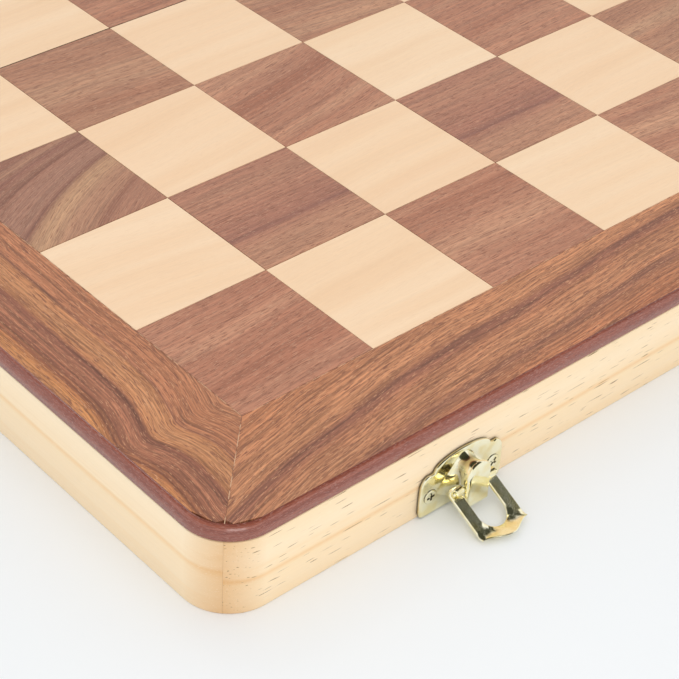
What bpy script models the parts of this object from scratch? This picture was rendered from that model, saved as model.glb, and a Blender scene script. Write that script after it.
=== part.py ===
"""Folding chess board with its clasps, hinges, foam inserts and 32 stored chessmen.

The board lies open and flat, playing side up. The rims of its two halves stand on
Z = 0, X runs along the fold, and the edge with the clasps is at -Y. All lengths are
in metres.
"""

import math

import bmesh
import bpy

MM = 0.001
GAP = 0.3 * MM

# Board
SQUARE = 40 * MM
FIELD = 8 * SQUARE
VENEER_BORDER = 28.6 * MM
BORDER = 30.5 * MM
BOARD = FIELD + 2 * BORDER
THICKNESS = 25.4 * MM
CORNER_RADIUS = 13 * MM
VENEER = 0.6 * MM
EDGE_BAND = 3.6 * MM
RAIL_WIDTH = 10 * MM
FOLD_GAP = GAP / 2
ARC_STEPS = 8
MITRE_SLACK = 1.0  # degrees of the corner arc on each side of a mitre

# Clasps and catches
CLASP_X = 119.2 * MM
PLATE_WIDTH = 25.5 * MM
PLATE_TOP = 15.6 * MM
PLATE_EAR = 11.7 * MM
PLATE_THICK = 0.9 * MM
PLATE_FOOT = 0.4 * MM
HOOD_WIDTH = 6.0 * MM
HOOD_OUT = 7.0 * MM
HOOD_TOP = 14.8 * MM
HOOD_FOOT = 2.4 * MM
HOOD_WALL = 0.7 * MM
PIN_OUT = 5.3 * MM
PIN_Z = 7.6 * MM
PIN_RADIUS = 0.55 * MM
PIN_HOLE = 0.9 * MM
LOOP_WIDTH = 14.9 * MM
LOOP_SLOT = 8.0 * MM
LOOP_SLOT_END = 11.5 * MM
LOOP_CREASE = 11.3 * MM
LOOP_SIDE = 12.7 * MM
LOOP_LENGTH = 15.0 * MM
LOOP_DROP = 1.3 * MM
LOOP_THICK = 0.9 * MM
LOOP_SLOPE = math.radians(26.5)
LIP_RISE = math.tan(math.radians(34))
CATCH_WIDTH = 20 * MM
CATCH_TOP = 11.5 * MM
HOOK_OUT = 5.6 * MM
HOOK_Z = 0.7 * MM
HOOK_THICK = 1.0 * MM
HOOK_TIP = 0.75 * MM
HOOK_WIDTH = 4.0 * MM

# The board sits so that the origin is at the middle of its footprint.
LOOP_REACH = PIN_OUT + LOOP_LENGTH * math.cos(LOOP_SLOPE)
FOLD_Y = (LOOP_REACH - HOOK_OUT) / 2
HALF_DEPTH = BOARD / 2

# Hinges
HINGE_X = 105 * MM
HINGE_LENGTH = 30 * MM
AXIS_Z = -GAP / 2
KNUCKLE_RADIUS = 1.2 * MM
KNUCKLE_BORE = 0.8 * MM
HINGE_PIN_RADIUS = 0.5 * MM
LEAF_WIDTH = 7.6 * MM
LEAF_THICK = 0.8 * MM
LEAF_Z = 0.15 * MM
KNUCKLES = 5

# Foam inserts and their pockets
FOAM_FOOT = 4.4 * MM
POCKET_COLUMNS = 8
POCKET_ROWS = 2

# Chessmen: base radius, height
MEN = {
    "king": (10.0 * MM, 64 * MM),
    "queen": (9.7 * MM, 58 * MM),
    "bishop": (9.2 * MM, 50 * MM),
    "knight": (9.2 * MM, 44 * MM),
    "rook": (9.0 * MM, 38 * MM),
    "pawn": (8.2 * MM, 34 * MM),
}
MAN_SEGMENTS = 12
BACK_RANK = ("rook", "knight", "bishop", "queen", "king", "bishop", "knight", "rook")


def clear_scene():
    """Remove every object that the file opened with."""
    for thing in list(bpy.data.objects):
        bpy.data.objects.remove(thing, do_unlink=True)


def make_material(name, colour, roughness, metallic=0.0):
    """Return a Principled material in one colour."""
    material = bpy.data.materials.new(name)
    material.use_nodes = True
    shader = material.node_tree.nodes["Principled BSDF"]
    shader.inputs["Base Color"].default_value = (*colour, 1.0)
    shader.inputs["Roughness"].default_value = roughness
    shader.inputs["Metallic"].default_value = metallic
    return material


def add_object(name, bm, material, origin=(0, 0, 0)):
    """Turn a bmesh in world coordinates into an object whose origin is at a point."""
    bmesh.ops.recalc_face_normals(bm, faces=bm.faces)
    bmesh.ops.translate(bm, verts=bm.verts, vec=[-c for c in origin])
    mesh = bpy.data.meshes.new(name)
    bm.to_mesh(mesh)
    bm.free()
    if material is not None:
        mesh.materials.append(material)
    thing = bpy.data.objects.new(name, mesh)
    thing.location = origin
    bpy.context.collection.objects.link(thing)
    return thing


def smooth(thing, angle=35):
    """Shade a rounded piece smooth, with sharp edges kept."""
    thing.data.shade_smooth()
    thing.data.set_sharp_from_angle(angle=math.radians(angle))


def combine(thing, other, operation):
    """Union or cut an object with another, which stays in the file as a guide."""
    other.hide_render = True
    other.display_type = "WIRE"
    modifier = thing.modifiers.new(operation.lower(), "BOOLEAN")
    modifier.operation = operation
    modifier.solver = "EXACT"
    modifier.object = other


def loft(rings):
    """Bridge rings of equal length into one closed skin, with an n-gon cap at each end."""
    bm = bmesh.new()
    rows = [[bm.verts.new(p) for p in ring] for ring in rings]
    count = len(rows[0])
    for low, high in zip(rows, rows[1:]):
        for i in range(count):
            j = (i + 1) % count
            bm.faces.new((low[i], low[j], high[j], high[i]))
    bm.faces.new(list(reversed(rows[0])))
    bm.faces.new(rows[-1])
    return bm


def prism(points, axis, start, end):
    """Extrude a flat outline along a world axis; its points are in the other two axes."""
    def place(point, along):
        a, b = point
        return {"x": (along, a, b), "y": (a, along, b), "z": (a, b, along)}[axis]

    return loft([[place(p, t) for p in points] for t in (start, end)])


def box(low, high):
    """A block between two corners."""
    outline = [(low[0], low[1]), (high[0], low[1]), (high[0], high[1]), (low[0], high[1])]
    return prism(outline, "z", low[2], high[2])


def arc(centre, radius, start, end, steps):
    """Points along an arc, angles in degrees."""
    found = []
    for i in range(steps + 1):
        turn = math.radians(start + (end - start) * i / steps)
        found.append((centre[0] + radius * math.cos(turn), centre[1] + radius * math.sin(turn)))
    return found


def ring_points(centre, radius, steps):
    """Points around a full circle."""
    return arc(centre, radius, 0, 360 * (steps - 1) / steps, steps - 1)


# ---------------------------------------------------------------- board halves


def half_outline(side, inset):
    """Plan of one half, rounded at its two outer corners and straight at the fold.

    side is -1 for the half with the clasps and 1 for the far half.
    """
    x = BOARD / 2 - inset
    y = HALF_DEPTH - inset
    radius = CORNER_RADIUS - inset
    points = [(-x, FOLD_GAP)]
    points += arc((-x + radius, y - radius), radius, 180, 90, ARC_STEPS)
    points += arc((x - radius, y - radius), radius, 90, 0, ARC_STEPS)
    points += [(x, FOLD_GAP)]
    return [(px, FOLD_Y + side * py) for px, py in points]


def at_height(points, z):
    """Lift a plan to a height."""
    return [(x, y, z) for x, y in points]


def make_veneer(name, side, material):
    """The inlaid walnut and maple sheet, inside the rounded edge."""
    outline = half_outline(side, BORDER - VENEER_BORDER + GAP)
    low, high = THICKNESS - VENEER, THICKNESS
    return add_object(name, prism(outline, "z", low, high), material)


def make_panel(name, side, material):
    """The core board: rounded at its outer edge, with a shallow seat for the veneer."""
    lip = BORDER - VENEER_BORDER
    foot = THICKNESS - EDGE_BAND
    rings = [at_height(half_outline(side, 0.0), foot)]
    steps = 6
    for i in range(1, steps + 1):
        turn = math.radians(90 * i / steps)
        inset = lip * (1 - math.cos(turn))
        height = foot + EDGE_BAND * 0.35 + EDGE_BAND * 0.65 * math.sin(turn)
        rings.append(at_height(half_outline(side, inset), height))
    seat = THICKNESS - VENEER - GAP
    rings.append(at_height(half_outline(side, lip + GAP / 10), seat))
    panel = add_object(name, loft(rings), material)
    smooth(panel)
    return panel


def corner_arc(corner_x, side, start, end):
    """Part of the rounded outer corner, angles in degrees from +X for the right side."""
    centre = (BOARD / 2 - CORNER_RADIUS, HALF_DEPTH - CORNER_RADIUS)
    points = arc(centre, CORNER_RADIUS, start, end, ARC_STEPS // 2)
    return [(corner_x * x, FOLD_Y + side * y) for x, y in points]


def make_outer_rail(name, side, material):
    """The rail along the outer edge, mitred in the middle of both rounded corners."""
    right = corner_arc(1, side, 45 + MITRE_SLACK, 90)
    left = corner_arc(-1, side, 90, 45 + MITRE_SLACK)
    inner = HALF_DEPTH - RAIL_WIDTH
    inner_x = BOARD / 2 - RAIL_WIDTH - GAP
    outline = right + left + [
        (-inner_x, FOLD_Y + side * inner),
        (inner_x, FOLD_Y + side * inner),
    ]
    top = THICKNESS - EDGE_BAND - GAP
    rail = add_object(name, prism(outline, "z", 0, top), material)
    smooth(rail)
    return rail


def make_side_rail(name, side, hand, material):
    """A rail from the mitred corner to the fold; hand is -1 for left and 1 for right."""
    corner = corner_arc(hand, side, 0, 45 - MITRE_SLACK)
    inner_x = BOARD / 2 - RAIL_WIDTH
    outline = [(hand * BOARD / 2, FOLD_Y + side * FOLD_GAP)] + corner + [
        (hand * inner_x, FOLD_Y + side * (HALF_DEPTH - RAIL_WIDTH - GAP)),
        (hand * inner_x, FOLD_Y + side * FOLD_GAP),
    ]
    top = THICKNESS - EDGE_BAND - GAP
    rail = add_object(name, prism(outline, "z", 0, top), material)
    smooth(rail)
    return rail


def make_centre_rail(name, side, material):
    """The rail along the fold, notched from below for the leaves and knuckles."""
    inner_x = BOARD / 2 - RAIL_WIDTH - GAP
    top = THICKNESS - EDGE_BAND - GAP
    leaf_far = LEAF_WIDTH + GAP
    leaf_top = LEAF_Z + LEAF_THICK + GAP
    notch = KNUCKLE_RADIUS + GAP
    plain = [(FOLD_GAP, 0), (RAIL_WIDTH, 0), (RAIL_WIDTH, top), (FOLD_GAP, top)]
    cut = [
        (notch, notch),
        (notch, leaf_top),
        (leaf_far, leaf_top),
        (leaf_far, 0),
        (RAIL_WIDTH, 0),
        (RAIL_WIDTH, top),
        (FOLD_GAP, top),
        (FOLD_GAP, notch),
    ]
    half = HINGE_LENGTH / 2 + GAP
    runs = [
        (-inner_x, -HINGE_X - half, plain),
        (-HINGE_X - half, -HINGE_X + half, cut),
        (-HINGE_X + half, HINGE_X - half, plain),
        (HINGE_X - half, HINGE_X + half, cut),
        (HINGE_X + half, inner_x, plain),
    ]
    rail = None
    for i, (start, end, profile) in enumerate(runs):
        lap = 0.1 * MM if profile is cut else 0
        points = [(FOLD_Y + side * y, z) for y, z in profile]
        bm = prism(points, "x", start - lap, end + lap)
        if rail is None:
            rail = add_object(name, bm, material)
        else:
            combine(rail, add_object(f"{name}_run_{i}", bm, material), "UNION")
    return rail


def pocket_centres(side):
    """Plan positions of the 16 pockets of one half, row by row from the outer edge."""
    width = BOARD - 2 * RAIL_WIDTH
    depth = HALF_DEPTH - 2 * RAIL_WIDTH
    found = []
    for row in range(POCKET_ROWS):
        y = HALF_DEPTH - RAIL_WIDTH - depth * (row + 0.5) / POCKET_ROWS
        for column in range(POCKET_COLUMNS):
            x = width * ((column + 0.5) / POCKET_COLUMNS - 0.5)
            found.append((x, FOLD_Y + side * y))
    return found


def make_foam(name, side, kinds, material):
    """A die-cut foam sheet under the core, with a pocket right through for each man."""
    half_x = BOARD / 2 - RAIL_WIDTH - GAP
    near = RAIL_WIDTH + GAP
    far = HALF_DEPTH - RAIL_WIDTH - GAP
    ys = sorted((FOLD_Y + side * near, FOLD_Y + side * far))
    top = THICKNESS - EDGE_BAND - GAP
    foam = add_object(name, box((-half_x, ys[0], FOAM_FOOT), (half_x, ys[1], top)), material)
    for i, (place, kind) in enumerate(zip(pocket_centres(side), kinds)):
        radius, height = MEN[kind]
        half_w = radius + 0.8 * MM
        half_l = height / 2 + 1.0 * MM
        corner = 1.5 * MM
        outline = []
        for sx, sy, start in ((1, 1, 0), (-1, 1, 90), (-1, -1, 180), (1, -1, 270)):
            centre = (
                place[0] + sx * (half_w - corner),
                place[1] + sy * (half_l - corner),
            )
            outline += arc(centre, corner, start, start + 90, 2)
        cutter = add_object(f"{name}_pocket_{i}", prism(outline, "z", 0, THICKNESS), None)
        combine(foam, cutter, "DIFFERENCE")
    return foam


# ------------------------------------------------------------ clasps and catches


def plate_outline(x):
    """Front view of a clasp plate: straight foot, eared shoulders and an arched top."""
    half, foot, ear = PLATE_WIDTH / 2, PLATE_FOOT, PLATE_EAR
    cusp = ear + 0.9 * MM
    shoulder = [
        (half - 0.4 * MM, foot),
        (half, foot + 2 * MM),
        (half - 0.4 * MM, ear - 2.2 * MM),
        (half - 1.6 * MM, ear),
        (half - 3.2 * MM, ear - 0.2 * MM),
        (half - 4.4 * MM, ear + 0.4 * MM),
    ]
    arch = arc((0, 0), 1, 0, 180, 8)
    points = [(x + px, pz) for px, pz in shoulder]
    points += [(x + (half - 5.4 * MM) * c, cusp + (PLATE_TOP - cusp) * s) for c, s in arch]
    points += [(x - px, pz) for px, pz in reversed(shoulder)]
    return points


def tombstone(x, width, foot, top):
    """An upright outline with a half-round head."""
    radius = width / 2
    points = [(x + radius, foot)]
    points += arc((x, top - radius), radius, 0, 180, 8)
    points += [(x - radius, foot)]
    return points


def make_clasp_plate(name, x, material):
    """The screwed plate with its hood, which carries the pin of the loop."""
    face = FOLD_Y - HALF_DEPTH
    back = face - GAP
    plate = add_object(name, prism(plate_outline(x), "y", back, back - PLATE_THICK), material)
    hood = prism(tombstone(x, HOOD_WIDTH, HOOD_FOOT, HOOD_TOP), "y", back - 0.2 * MM, face - HOOD_OUT)
    combine(plate, add_object(f"{name}_hood", hood, material), "UNION")
    inside = prism(
        tombstone(x, HOOD_WIDTH - 2 * HOOD_WALL, 0.0, HOOD_TOP - HOOD_WALL),
        "y",
        back - PLATE_THICK - 0.05 * MM,
        face - HOOD_OUT + HOOD_WALL,
    )
    combine(plate, add_object(f"{name}_hollow", inside, None), "DIFFERENCE")
    hole = ring_points((face - PIN_OUT, PIN_Z), PIN_HOLE, 12)
    reach = HOOD_WIDTH
    cutter = add_object(f"{name}_pin_hole", prism(hole, "x", x - reach, x + reach), None)
    combine(plate, cutter, "DIFFERENCE")
    smooth(plate)
    return plate


def make_clasp_pin(name, x, material):
    """The pin through the hood and the two knuckles of the loop."""
    face = FOLD_Y - HALF_DEPTH
    outline = ring_points((face - PIN_OUT, PIN_Z), PIN_RADIUS, 12)
    half = LOOP_WIDTH / 2 - 0.4 * MM
    pin = add_object(name, prism(outline, "x", x - half, x + half), material)
    smooth(pin)
    return pin


def loop_edges():
    """Inner and outer edge of the loop in its own plane: (across, away from the pin)."""
    inner_half, outer_half = LOOP_SLOT / 2, LOOP_WIDTH / 2
    bend = LOOP_SLOT_END - inner_half
    straight, steps, side_steps = 3, 12, 2
    legs = [bend * i / straight for i in range(straight)]
    inner = [(inner_half, away) for away in legs]
    outer = [(outer_half, away) for away in legs]
    for i in range(steps + 1):
        turn = math.pi * i / steps
        inner.append((inner_half * math.cos(turn), bend + inner_half * math.sin(turn)))
        from_side = min(i, steps - i)
        if from_side < side_steps:
            hand = 1 if i < side_steps else -1
            outer.append((hand * outer_half, bend + (LOOP_SIDE - bend) * from_side / side_steps))
            continue
        share = 1 - 2 * (i - side_steps) / (steps - 2 * side_steps)
        swell = 0.5 + 0.5 * math.cos(math.pi * share)
        outer.append((outer_half * share, LOOP_SIDE + (LOOP_LENGTH - LOOP_SIDE) * swell))
    inner += [(-inner_half, away) for away in reversed(legs)]
    outer += [(-outer_half, away) for away in reversed(legs)]
    return inner, outer


def make_loop(name, x, material):
    """The U-shaped loop with its raised lip and its two knuckles on the pin."""
    pivot = (x, FOLD_Y - HALF_DEPTH - PIN_OUT, PIN_Z)
    cosine, sine = math.cos(LOOP_SLOPE), math.sin(LOOP_SLOPE)

    def place(across, away, up):
        return (x + across, pivot[1] - away * cosine - up * sine, PIN_Z - away * sine + up * cosine)

    inner, outer = loop_edges()
    columns = (0.0, 0.5, 1.0)
    rings = []
    for a, b in zip(inner, outer):
        ring = []
        for level, order in ((-0.5, columns), (0.5, reversed(columns))):
            for share in order:
                across = a[0] + (b[0] - a[0]) * share
                away = a[1] + (b[1] - a[1]) * share
                lift = LIP_RISE * max(0.0, away - LOOP_CREASE)
                ring.append(place(across, away, lift - LOOP_DROP + level * LOOP_THICK))
        rings.append(ring)
    loop = add_object(name, loft(rings), material, pivot)
    centre = (pivot[1], PIN_Z)
    for hand in (-1, 1):
        ends = (x + hand * LOOP_SLOT / 2, x + hand * LOOP_WIDTH / 2)
        knuckle = prism(ring_points(centre, LOOP_DROP + LOOP_THICK / 2, 16), "x", *ends)
        combine(loop, add_object(f"{name}_knuckle_{hand + 1}", knuckle, material), "UNION")
    bore = prism(ring_points(centre, PIN_HOLE, 12), "x", x - LOOP_WIDTH, x + LOOP_WIDTH)
    combine(loop, add_object(f"{name}_bore", bore, None), "DIFFERENCE")
    smooth(loop)
    return loop


def make_catch(name, x, material):
    """The plate with a turned-up hook on the far edge, which the loop snaps over."""
    face = FOLD_Y + HALF_DEPTH
    back = face + GAP
    half = CATCH_WIDTH / 2
    outline = [(x + half, PLATE_FOOT)]
    outline += arc((x + half - 3 * MM, CATCH_TOP - 3 * MM), 3 * MM, 0, 90, 3)
    outline += arc((x - half + 3 * MM, CATCH_TOP - 3 * MM), 3 * MM, 90, 180, 3)
    outline += [(x - half, PLATE_FOOT)]
    plate = add_object(name, prism(outline, "y", back, back + PLATE_THICK), material)
    out = face + HOOK_OUT
    bend = HOOK_Z + HOOK_THICK
    profile = [
        (back + GAP, HOOK_Z),
        (out, HOOK_Z),
        (out, bend + HOOK_THICK),
        (out - HOOK_TIP, bend + HOOK_THICK),
        (out - HOOK_TIP, bend),
        (back + GAP, bend),
    ]
    hook = prism(profile, "x", x - HOOK_WIDTH / 2, x + HOOK_WIDTH / 2)
    combine(plate, add_object(f"{name}_hook", hook, material), "UNION")
    return plate


# -------------------------------------------------------------------------- hinges


def knuckle_spans(x, side):
    """The stretches of X that one leaf's knuckles take; the near leaf has the odd one more."""
    length = HINGE_LENGTH / KNUCKLES
    first = 0 if side < 0 else 1
    spans = []
    for i in range(first, KNUCKLES, 2):
        start = x - HINGE_LENGTH / 2 + i * length
        spans.append((start + GAP / 2, start + length - GAP / 2))
    return spans


def make_leaf(name, x, side, material, pivot):
    """A hinge leaf let into the foot of the centre rail, with its knuckles."""
    near = KNUCKLE_RADIUS + GAP
    half = HINGE_LENGTH / 2
    low, high = sorted((FOLD_Y + side * near, FOLD_Y + side * LEAF_WIDTH))
    plate = box((x - half, low, LEAF_Z), (x + half, high, LEAF_Z + LEAF_THICK))
    leaf = add_object(name, plate, material, pivot)
    for i, (start, end) in enumerate(knuckle_spans(x, side)):
        outline = ring_points((FOLD_Y, AXIS_Z), KNUCKLE_RADIUS, 16)
        knuckle = add_object(f"{name}_knuckle_{i}", prism(outline, "x", start, end), material)
        combine(leaf, knuckle, "UNION")
        low, high = sorted((FOLD_Y + side * 0.9 * MM, FOLD_Y + side * (near + 0.4 * MM)))
        web = box((start, low, LEAF_Z), (end, high, LEAF_Z + LEAF_THICK * 0.9))
        combine(leaf, add_object(f"{name}_web_{i}", web, material), "UNION")
    bore = prism(ring_points((FOLD_Y, AXIS_Z), KNUCKLE_BORE, 12), "x", x - HINGE_LENGTH, x + HINGE_LENGTH)
    combine(leaf, add_object(f"{name}_bore", bore, None), "DIFFERENCE")
    smooth(leaf)
    return leaf


def make_hinge_pin(name, x, material, pivot):
    """The wire pin through all the knuckles of a hinge."""
    half = HINGE_LENGTH / 2 - 0.3 * MM
    outline = ring_points((FOLD_Y, AXIS_Z), HINGE_PIN_RADIUS, 12)
    pin = add_object(name, prism(outline, "x", x - half, x + half), material, pivot)
    smooth(pin)
    return pin


# ------------------------------------------------------------------------ chessmen


def man_profile(kind):
    """Turned profile of a man as (radius, height) pairs in shares of its size."""
    foot = [(1.0, 0.0), (1.0, 0.07), (0.8, 0.12), (0.82, 0.16)]
    heads = {
        "pawn": [
            (0.46, 0.28), (0.36, 0.52), (0.6, 0.58), (0.38, 0.64), (0.52, 0.76), (0.46, 0.9),
            (0.2, 1.0),
        ],
        "rook": [(0.6, 0.26), (0.5, 0.62), (0.72, 0.7), (0.72, 1.0)],
        "knight": [(0.62, 0.24), (0.66, 0.3), (0.5, 0.34)],
        "bishop": [
            (0.5, 0.25), (0.34, 0.56), (0.58, 0.6), (0.36, 0.66), (0.5, 0.78), (0.34, 0.92),
            (0.16, 1.0),
        ],
        "queen": [
            (0.52, 0.22), (0.36, 0.6), (0.6, 0.66), (0.4, 0.71), (0.62, 0.9), (0.4, 0.94),
            (0.2, 1.0),
        ],
        "king": [(0.54, 0.2), (0.38, 0.58), (0.62, 0.64), (0.42, 0.69), (0.62, 0.86), (0.3, 0.9)],
    }
    return foot + heads[kind]


def turned(profile, radius, height):
    """A solid of revolution about Z from a profile that starts and ends off the axis."""
    rings = []
    for share, rise in profile:
        circle = ring_points((0, 0), radius * share, MAN_SEGMENTS)
        rings.append([(x, y, height * rise) for x, y in circle])
    return loft(rings)


def knight_head(radius, height):
    """The horse's head as a thick flat outline."""
    points = [
        (-0.62, 0.26), (0.5, 0.26), (0.42, 0.46), (0.86, 0.58), (0.98, 0.7),
        (0.55, 0.84), (0.3, 1.0), (-0.1, 0.95), (-0.55, 0.78), (-0.78, 0.5),
    ]
    outline = [(x * radius, z * height) for x, z in points]
    return prism(outline, "y", -0.34 * radius, 0.34 * radius)


def king_cross(radius, height):
    """The cross on the king's head."""
    arm, half = 0.26 * radius, 0.1 * radius
    low, high = 0.88 * height, height
    middle = 0.945 * height
    points = [
        (-half, low), (half, low), (half, middle - half), (arm, middle - half),
        (arm, middle + half), (half, middle + half), (half, high), (-half, high),
        (-half, middle + half), (-arm, middle + half), (-arm, middle - half),
        (-half, middle - half),
    ]
    return prism(points, "y", -half, half)


def lay_down(thing, place, radius, height, towards):
    """Lay a man on its side in its pocket, with its head towards +Y or -Y."""
    top = THICKNESS - EDGE_BAND - GAP
    thing.rotation_euler = (-math.pi / 2 * towards, 0, 0)
    thing.location = (place[0], place[1] - towards * height / 2, top - GAP - radius)


def make_man(name, kind, material, place, towards):
    """One chessman, lying in its pocket."""
    radius, height = MEN[kind]
    man = add_object(name, turned(man_profile(kind), radius, height), material)
    extras = []
    if kind == "knight":
        extras.append(knight_head(radius, height))
    if kind == "king":
        extras.append(king_cross(radius, height))
    for bm in extras:
        extra = add_object(f"{name}_top", bm, material)
        combine(man, extra, "UNION")
        lay_down(extra, place, radius, height, towards)
    lay_down(man, place, radius, height, towards)
    smooth(man)
    return man


def half_set():
    """Kinds of the 16 men of one colour: the back rank, then the pawns."""
    return list(BACK_RANK) + ["pawn"] * 8


def make_men(colour, side, material):
    """The 16 men of one colour in one half's pockets."""
    tally = {}
    for place, kind in zip(pocket_centres(side), half_set()):
        tally[kind] = tally.get(kind, 0) + 1
        single = kind in ("king", "queen")
        name = f"{colour}_{kind}" if single else f"{colour}_{kind}_{tally[kind]}"
        make_man(name, kind, material, place, side)


# ---------------------------------------------------------------------------- main


def main():
    """Build every node of the set."""
    clear_scene()
    walnut = make_material("walnut_maple_veneer", (0.25, 0.12, 0.06), 0.5)
    stain = make_material("stained_edge", (0.17, 0.05, 0.03), 0.4)
    pine = make_material("pine", (0.78, 0.55, 0.29), 0.5)
    foam = make_material("green_foam", (0.03, 0.12, 0.06), 0.95)
    brass = make_material("brass", (0.83, 0.66, 0.3), 0.15, 1.0)
    pale_wood = make_material("maple_men", (0.75, 0.55, 0.33), 0.4)
    dark_wood = make_material("walnut_men", (0.12, 0.05, 0.03), 0.4)

    for side, half, colour, wood in (
        (-1, "near", "white", pale_wood),
        (1, "far", "black", dark_wood),
    ):
        make_veneer(f"{half}_veneer", side, walnut)
        make_panel(f"{half}_panel", side, stain)
        make_outer_rail(f"{half}_outer_rail", side, pine)
        make_side_rail(f"{half}_left_rail", side, -1, pine)
        make_side_rail(f"{half}_right_rail", side, 1, pine)
        make_centre_rail(f"{half}_centre_rail", side, pine)
        make_foam(f"{half}_foam_insert", side, half_set(), foam)
        make_men(colour, side, wood)

    for hand, word in ((-1, "left"), (1, "right")):
        x = hand * CLASP_X
        make_clasp_plate(f"{word}_clasp_plate", x, brass)
        make_loop(f"{word}_clasp_loop", x, brass)
        make_clasp_pin(f"{word}_clasp_pin", x, brass)
        make_catch(f"{word}_catch_plate", x, brass)
        x = hand * HINGE_X
        pivot = (x, FOLD_Y, AXIS_Z)
        make_leaf(f"{word}_hinge_near_leaf", x, -1, brass, pivot)
        make_leaf(f"{word}_hinge_far_leaf", x, 1, brass, pivot)
        make_hinge_pin(f"{word}_hinge_pin", x, brass, pivot)


main()
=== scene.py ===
"""Finish and fine shape of a folding chess board with clasps, hinges and stored chessmen.

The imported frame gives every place. The pieces built here stand in the same frame and
carry the inlaid squares, the mitred borders, the timber figure, the drawn brass and the
turned men. Lengths are in millimetres until a mesh is made.
"""

import logging
import math
import random
from collections.abc import Callable, Sequence
from dataclasses import dataclass, field
from enum import Enum
from typing import Any

import bmesh
import bpy
from bpy.types import Material, Mesh, Node, NodeSocket, NodeTree, Object
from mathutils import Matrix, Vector

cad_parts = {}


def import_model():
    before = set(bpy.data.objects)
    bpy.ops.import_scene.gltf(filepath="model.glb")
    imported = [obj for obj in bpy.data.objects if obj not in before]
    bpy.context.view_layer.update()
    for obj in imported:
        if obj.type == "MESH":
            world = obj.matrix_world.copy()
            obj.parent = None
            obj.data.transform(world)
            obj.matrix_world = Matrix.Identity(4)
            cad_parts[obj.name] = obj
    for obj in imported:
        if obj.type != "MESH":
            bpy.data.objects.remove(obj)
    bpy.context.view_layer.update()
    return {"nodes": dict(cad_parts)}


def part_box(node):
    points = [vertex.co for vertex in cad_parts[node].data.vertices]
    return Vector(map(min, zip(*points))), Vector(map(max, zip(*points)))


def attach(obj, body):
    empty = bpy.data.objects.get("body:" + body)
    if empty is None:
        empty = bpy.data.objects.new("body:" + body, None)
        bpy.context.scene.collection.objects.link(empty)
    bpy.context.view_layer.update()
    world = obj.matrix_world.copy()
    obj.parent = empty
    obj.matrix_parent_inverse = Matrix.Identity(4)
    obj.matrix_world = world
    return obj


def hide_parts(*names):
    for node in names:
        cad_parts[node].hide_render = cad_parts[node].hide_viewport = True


LOG = logging.getLogger("chess_set")
MM = 0.001
GRAIN = "grain"
TONE = "tone"
UP = (0.0, 0.0, 1.0)
Point = tuple[float, float, float]
Flat = tuple[float, float]
Colour = tuple[float, float, float, float]
Feed = NodeSocket | Node
Bands = tuple[tuple[float, str], ...]


def linear(code: str) -> Colour:
    """Turn an sRGB hex colour into linear light.

    Args:
        code: six hex digits after a hash sign.

    Returns:
        Linear red, green, blue and an alpha of one.
    """
    parts = []
    for start in (1, 3, 5):
        value = int(code[start:start + 2], 16) / 255
        parts.append(value / 12.92 if value <= 0.04045 else ((value + 0.055) / 1.055) ** 2.4)
    return parts[0], parts[1], parts[2], 1.0


def add_node(
    tree: NodeTree,
    kind: str,
    settings: dict[Any, Any] | None = None,
    feeds: dict[Any, Feed] | None = None,
) -> Node:
    """Add a node with its settings and links.

    Args:
        tree: the node tree to add to.
        kind: Blender's name for the node after "ShaderNode".
        settings: socket values by name or index, with colours as hex codes, node options
            by name, or a ramp's stops as (place, hex code).
        feeds: what drives each named or numbered input, an output or a node's first output.

    Returns:
        The new node.
    """
    node = tree.nodes.new(f"ShaderNode{kind}")
    for key, value in (settings or {}).items():
        if key == "stops":
            elements = node.color_ramp.elements
            elements.remove(elements[-1])
            for count, (place, code) in enumerate(value):
                stop = elements[0] if count == 0 else elements.new(place)
                stop.position = place
                stop.color = linear(code)
        elif isinstance(key, int) or key in node.inputs:
            is_code = isinstance(value, str)
            node.inputs[key].default_value = linear(value) if is_code else value
        else:
            setattr(node, key, value)
    for key, source in (feeds or {}).items():
        output = source.outputs[0] if isinstance(source, Node) else source
        tree.links.new(output, node.inputs[key])
    return node


def mottle(tree: NodeTree, size: float, detail: float, roughness: float = 0.5) -> Node:
    """Lay noise over the object's own place.

    Args:
        tree: the material's tree.
        size: size of a patch in metres.
        detail: how many finer octaves the noise has.
        roughness: how strong those octaves are.

    Returns:
        The noise node.
    """
    place = add_node(tree, "TexCoord").outputs["Object"]
    settings = {"Scale": 1 / size, "Detail": detail, "Roughness": roughness}
    return add_node(tree, "TexNoise", settings, {"Vector": place})


# ------------------------------------------------------------------------ finishes


class GrainSource(Enum):
    """Where a timber finish takes the direction of its grain from."""

    PIECE = "the grain attribute that each cut piece carries"
    ALONG_X = "the frame's own X axis"


class Mark(Enum):
    """The marks that a timber finish prints; the value starts the names of their fields."""

    STREAK = "streak"
    PORE = "pore"
    FLECK = "fleck"


@dataclass(frozen=True)
class Finish:
    """A surface that becomes one material."""

    name: str = "finish"

    def shader(self, tree: NodeTree) -> Node:
        """Build the surface's nodes and return its shader.

        Args:
            tree: the material's tree.

        Returns:
            The shader node.
        """
        raise NotImplementedError

    def material(self) -> Material:
        """Return a new material with this surface."""
        made = bpy.data.materials.new(self.name)
        made.use_nodes = True
        tree = made.node_tree
        tree.nodes.clear()
        add_node(tree, "OutputMaterial", feeds={0: self.shader(tree)})
        return made


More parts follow.
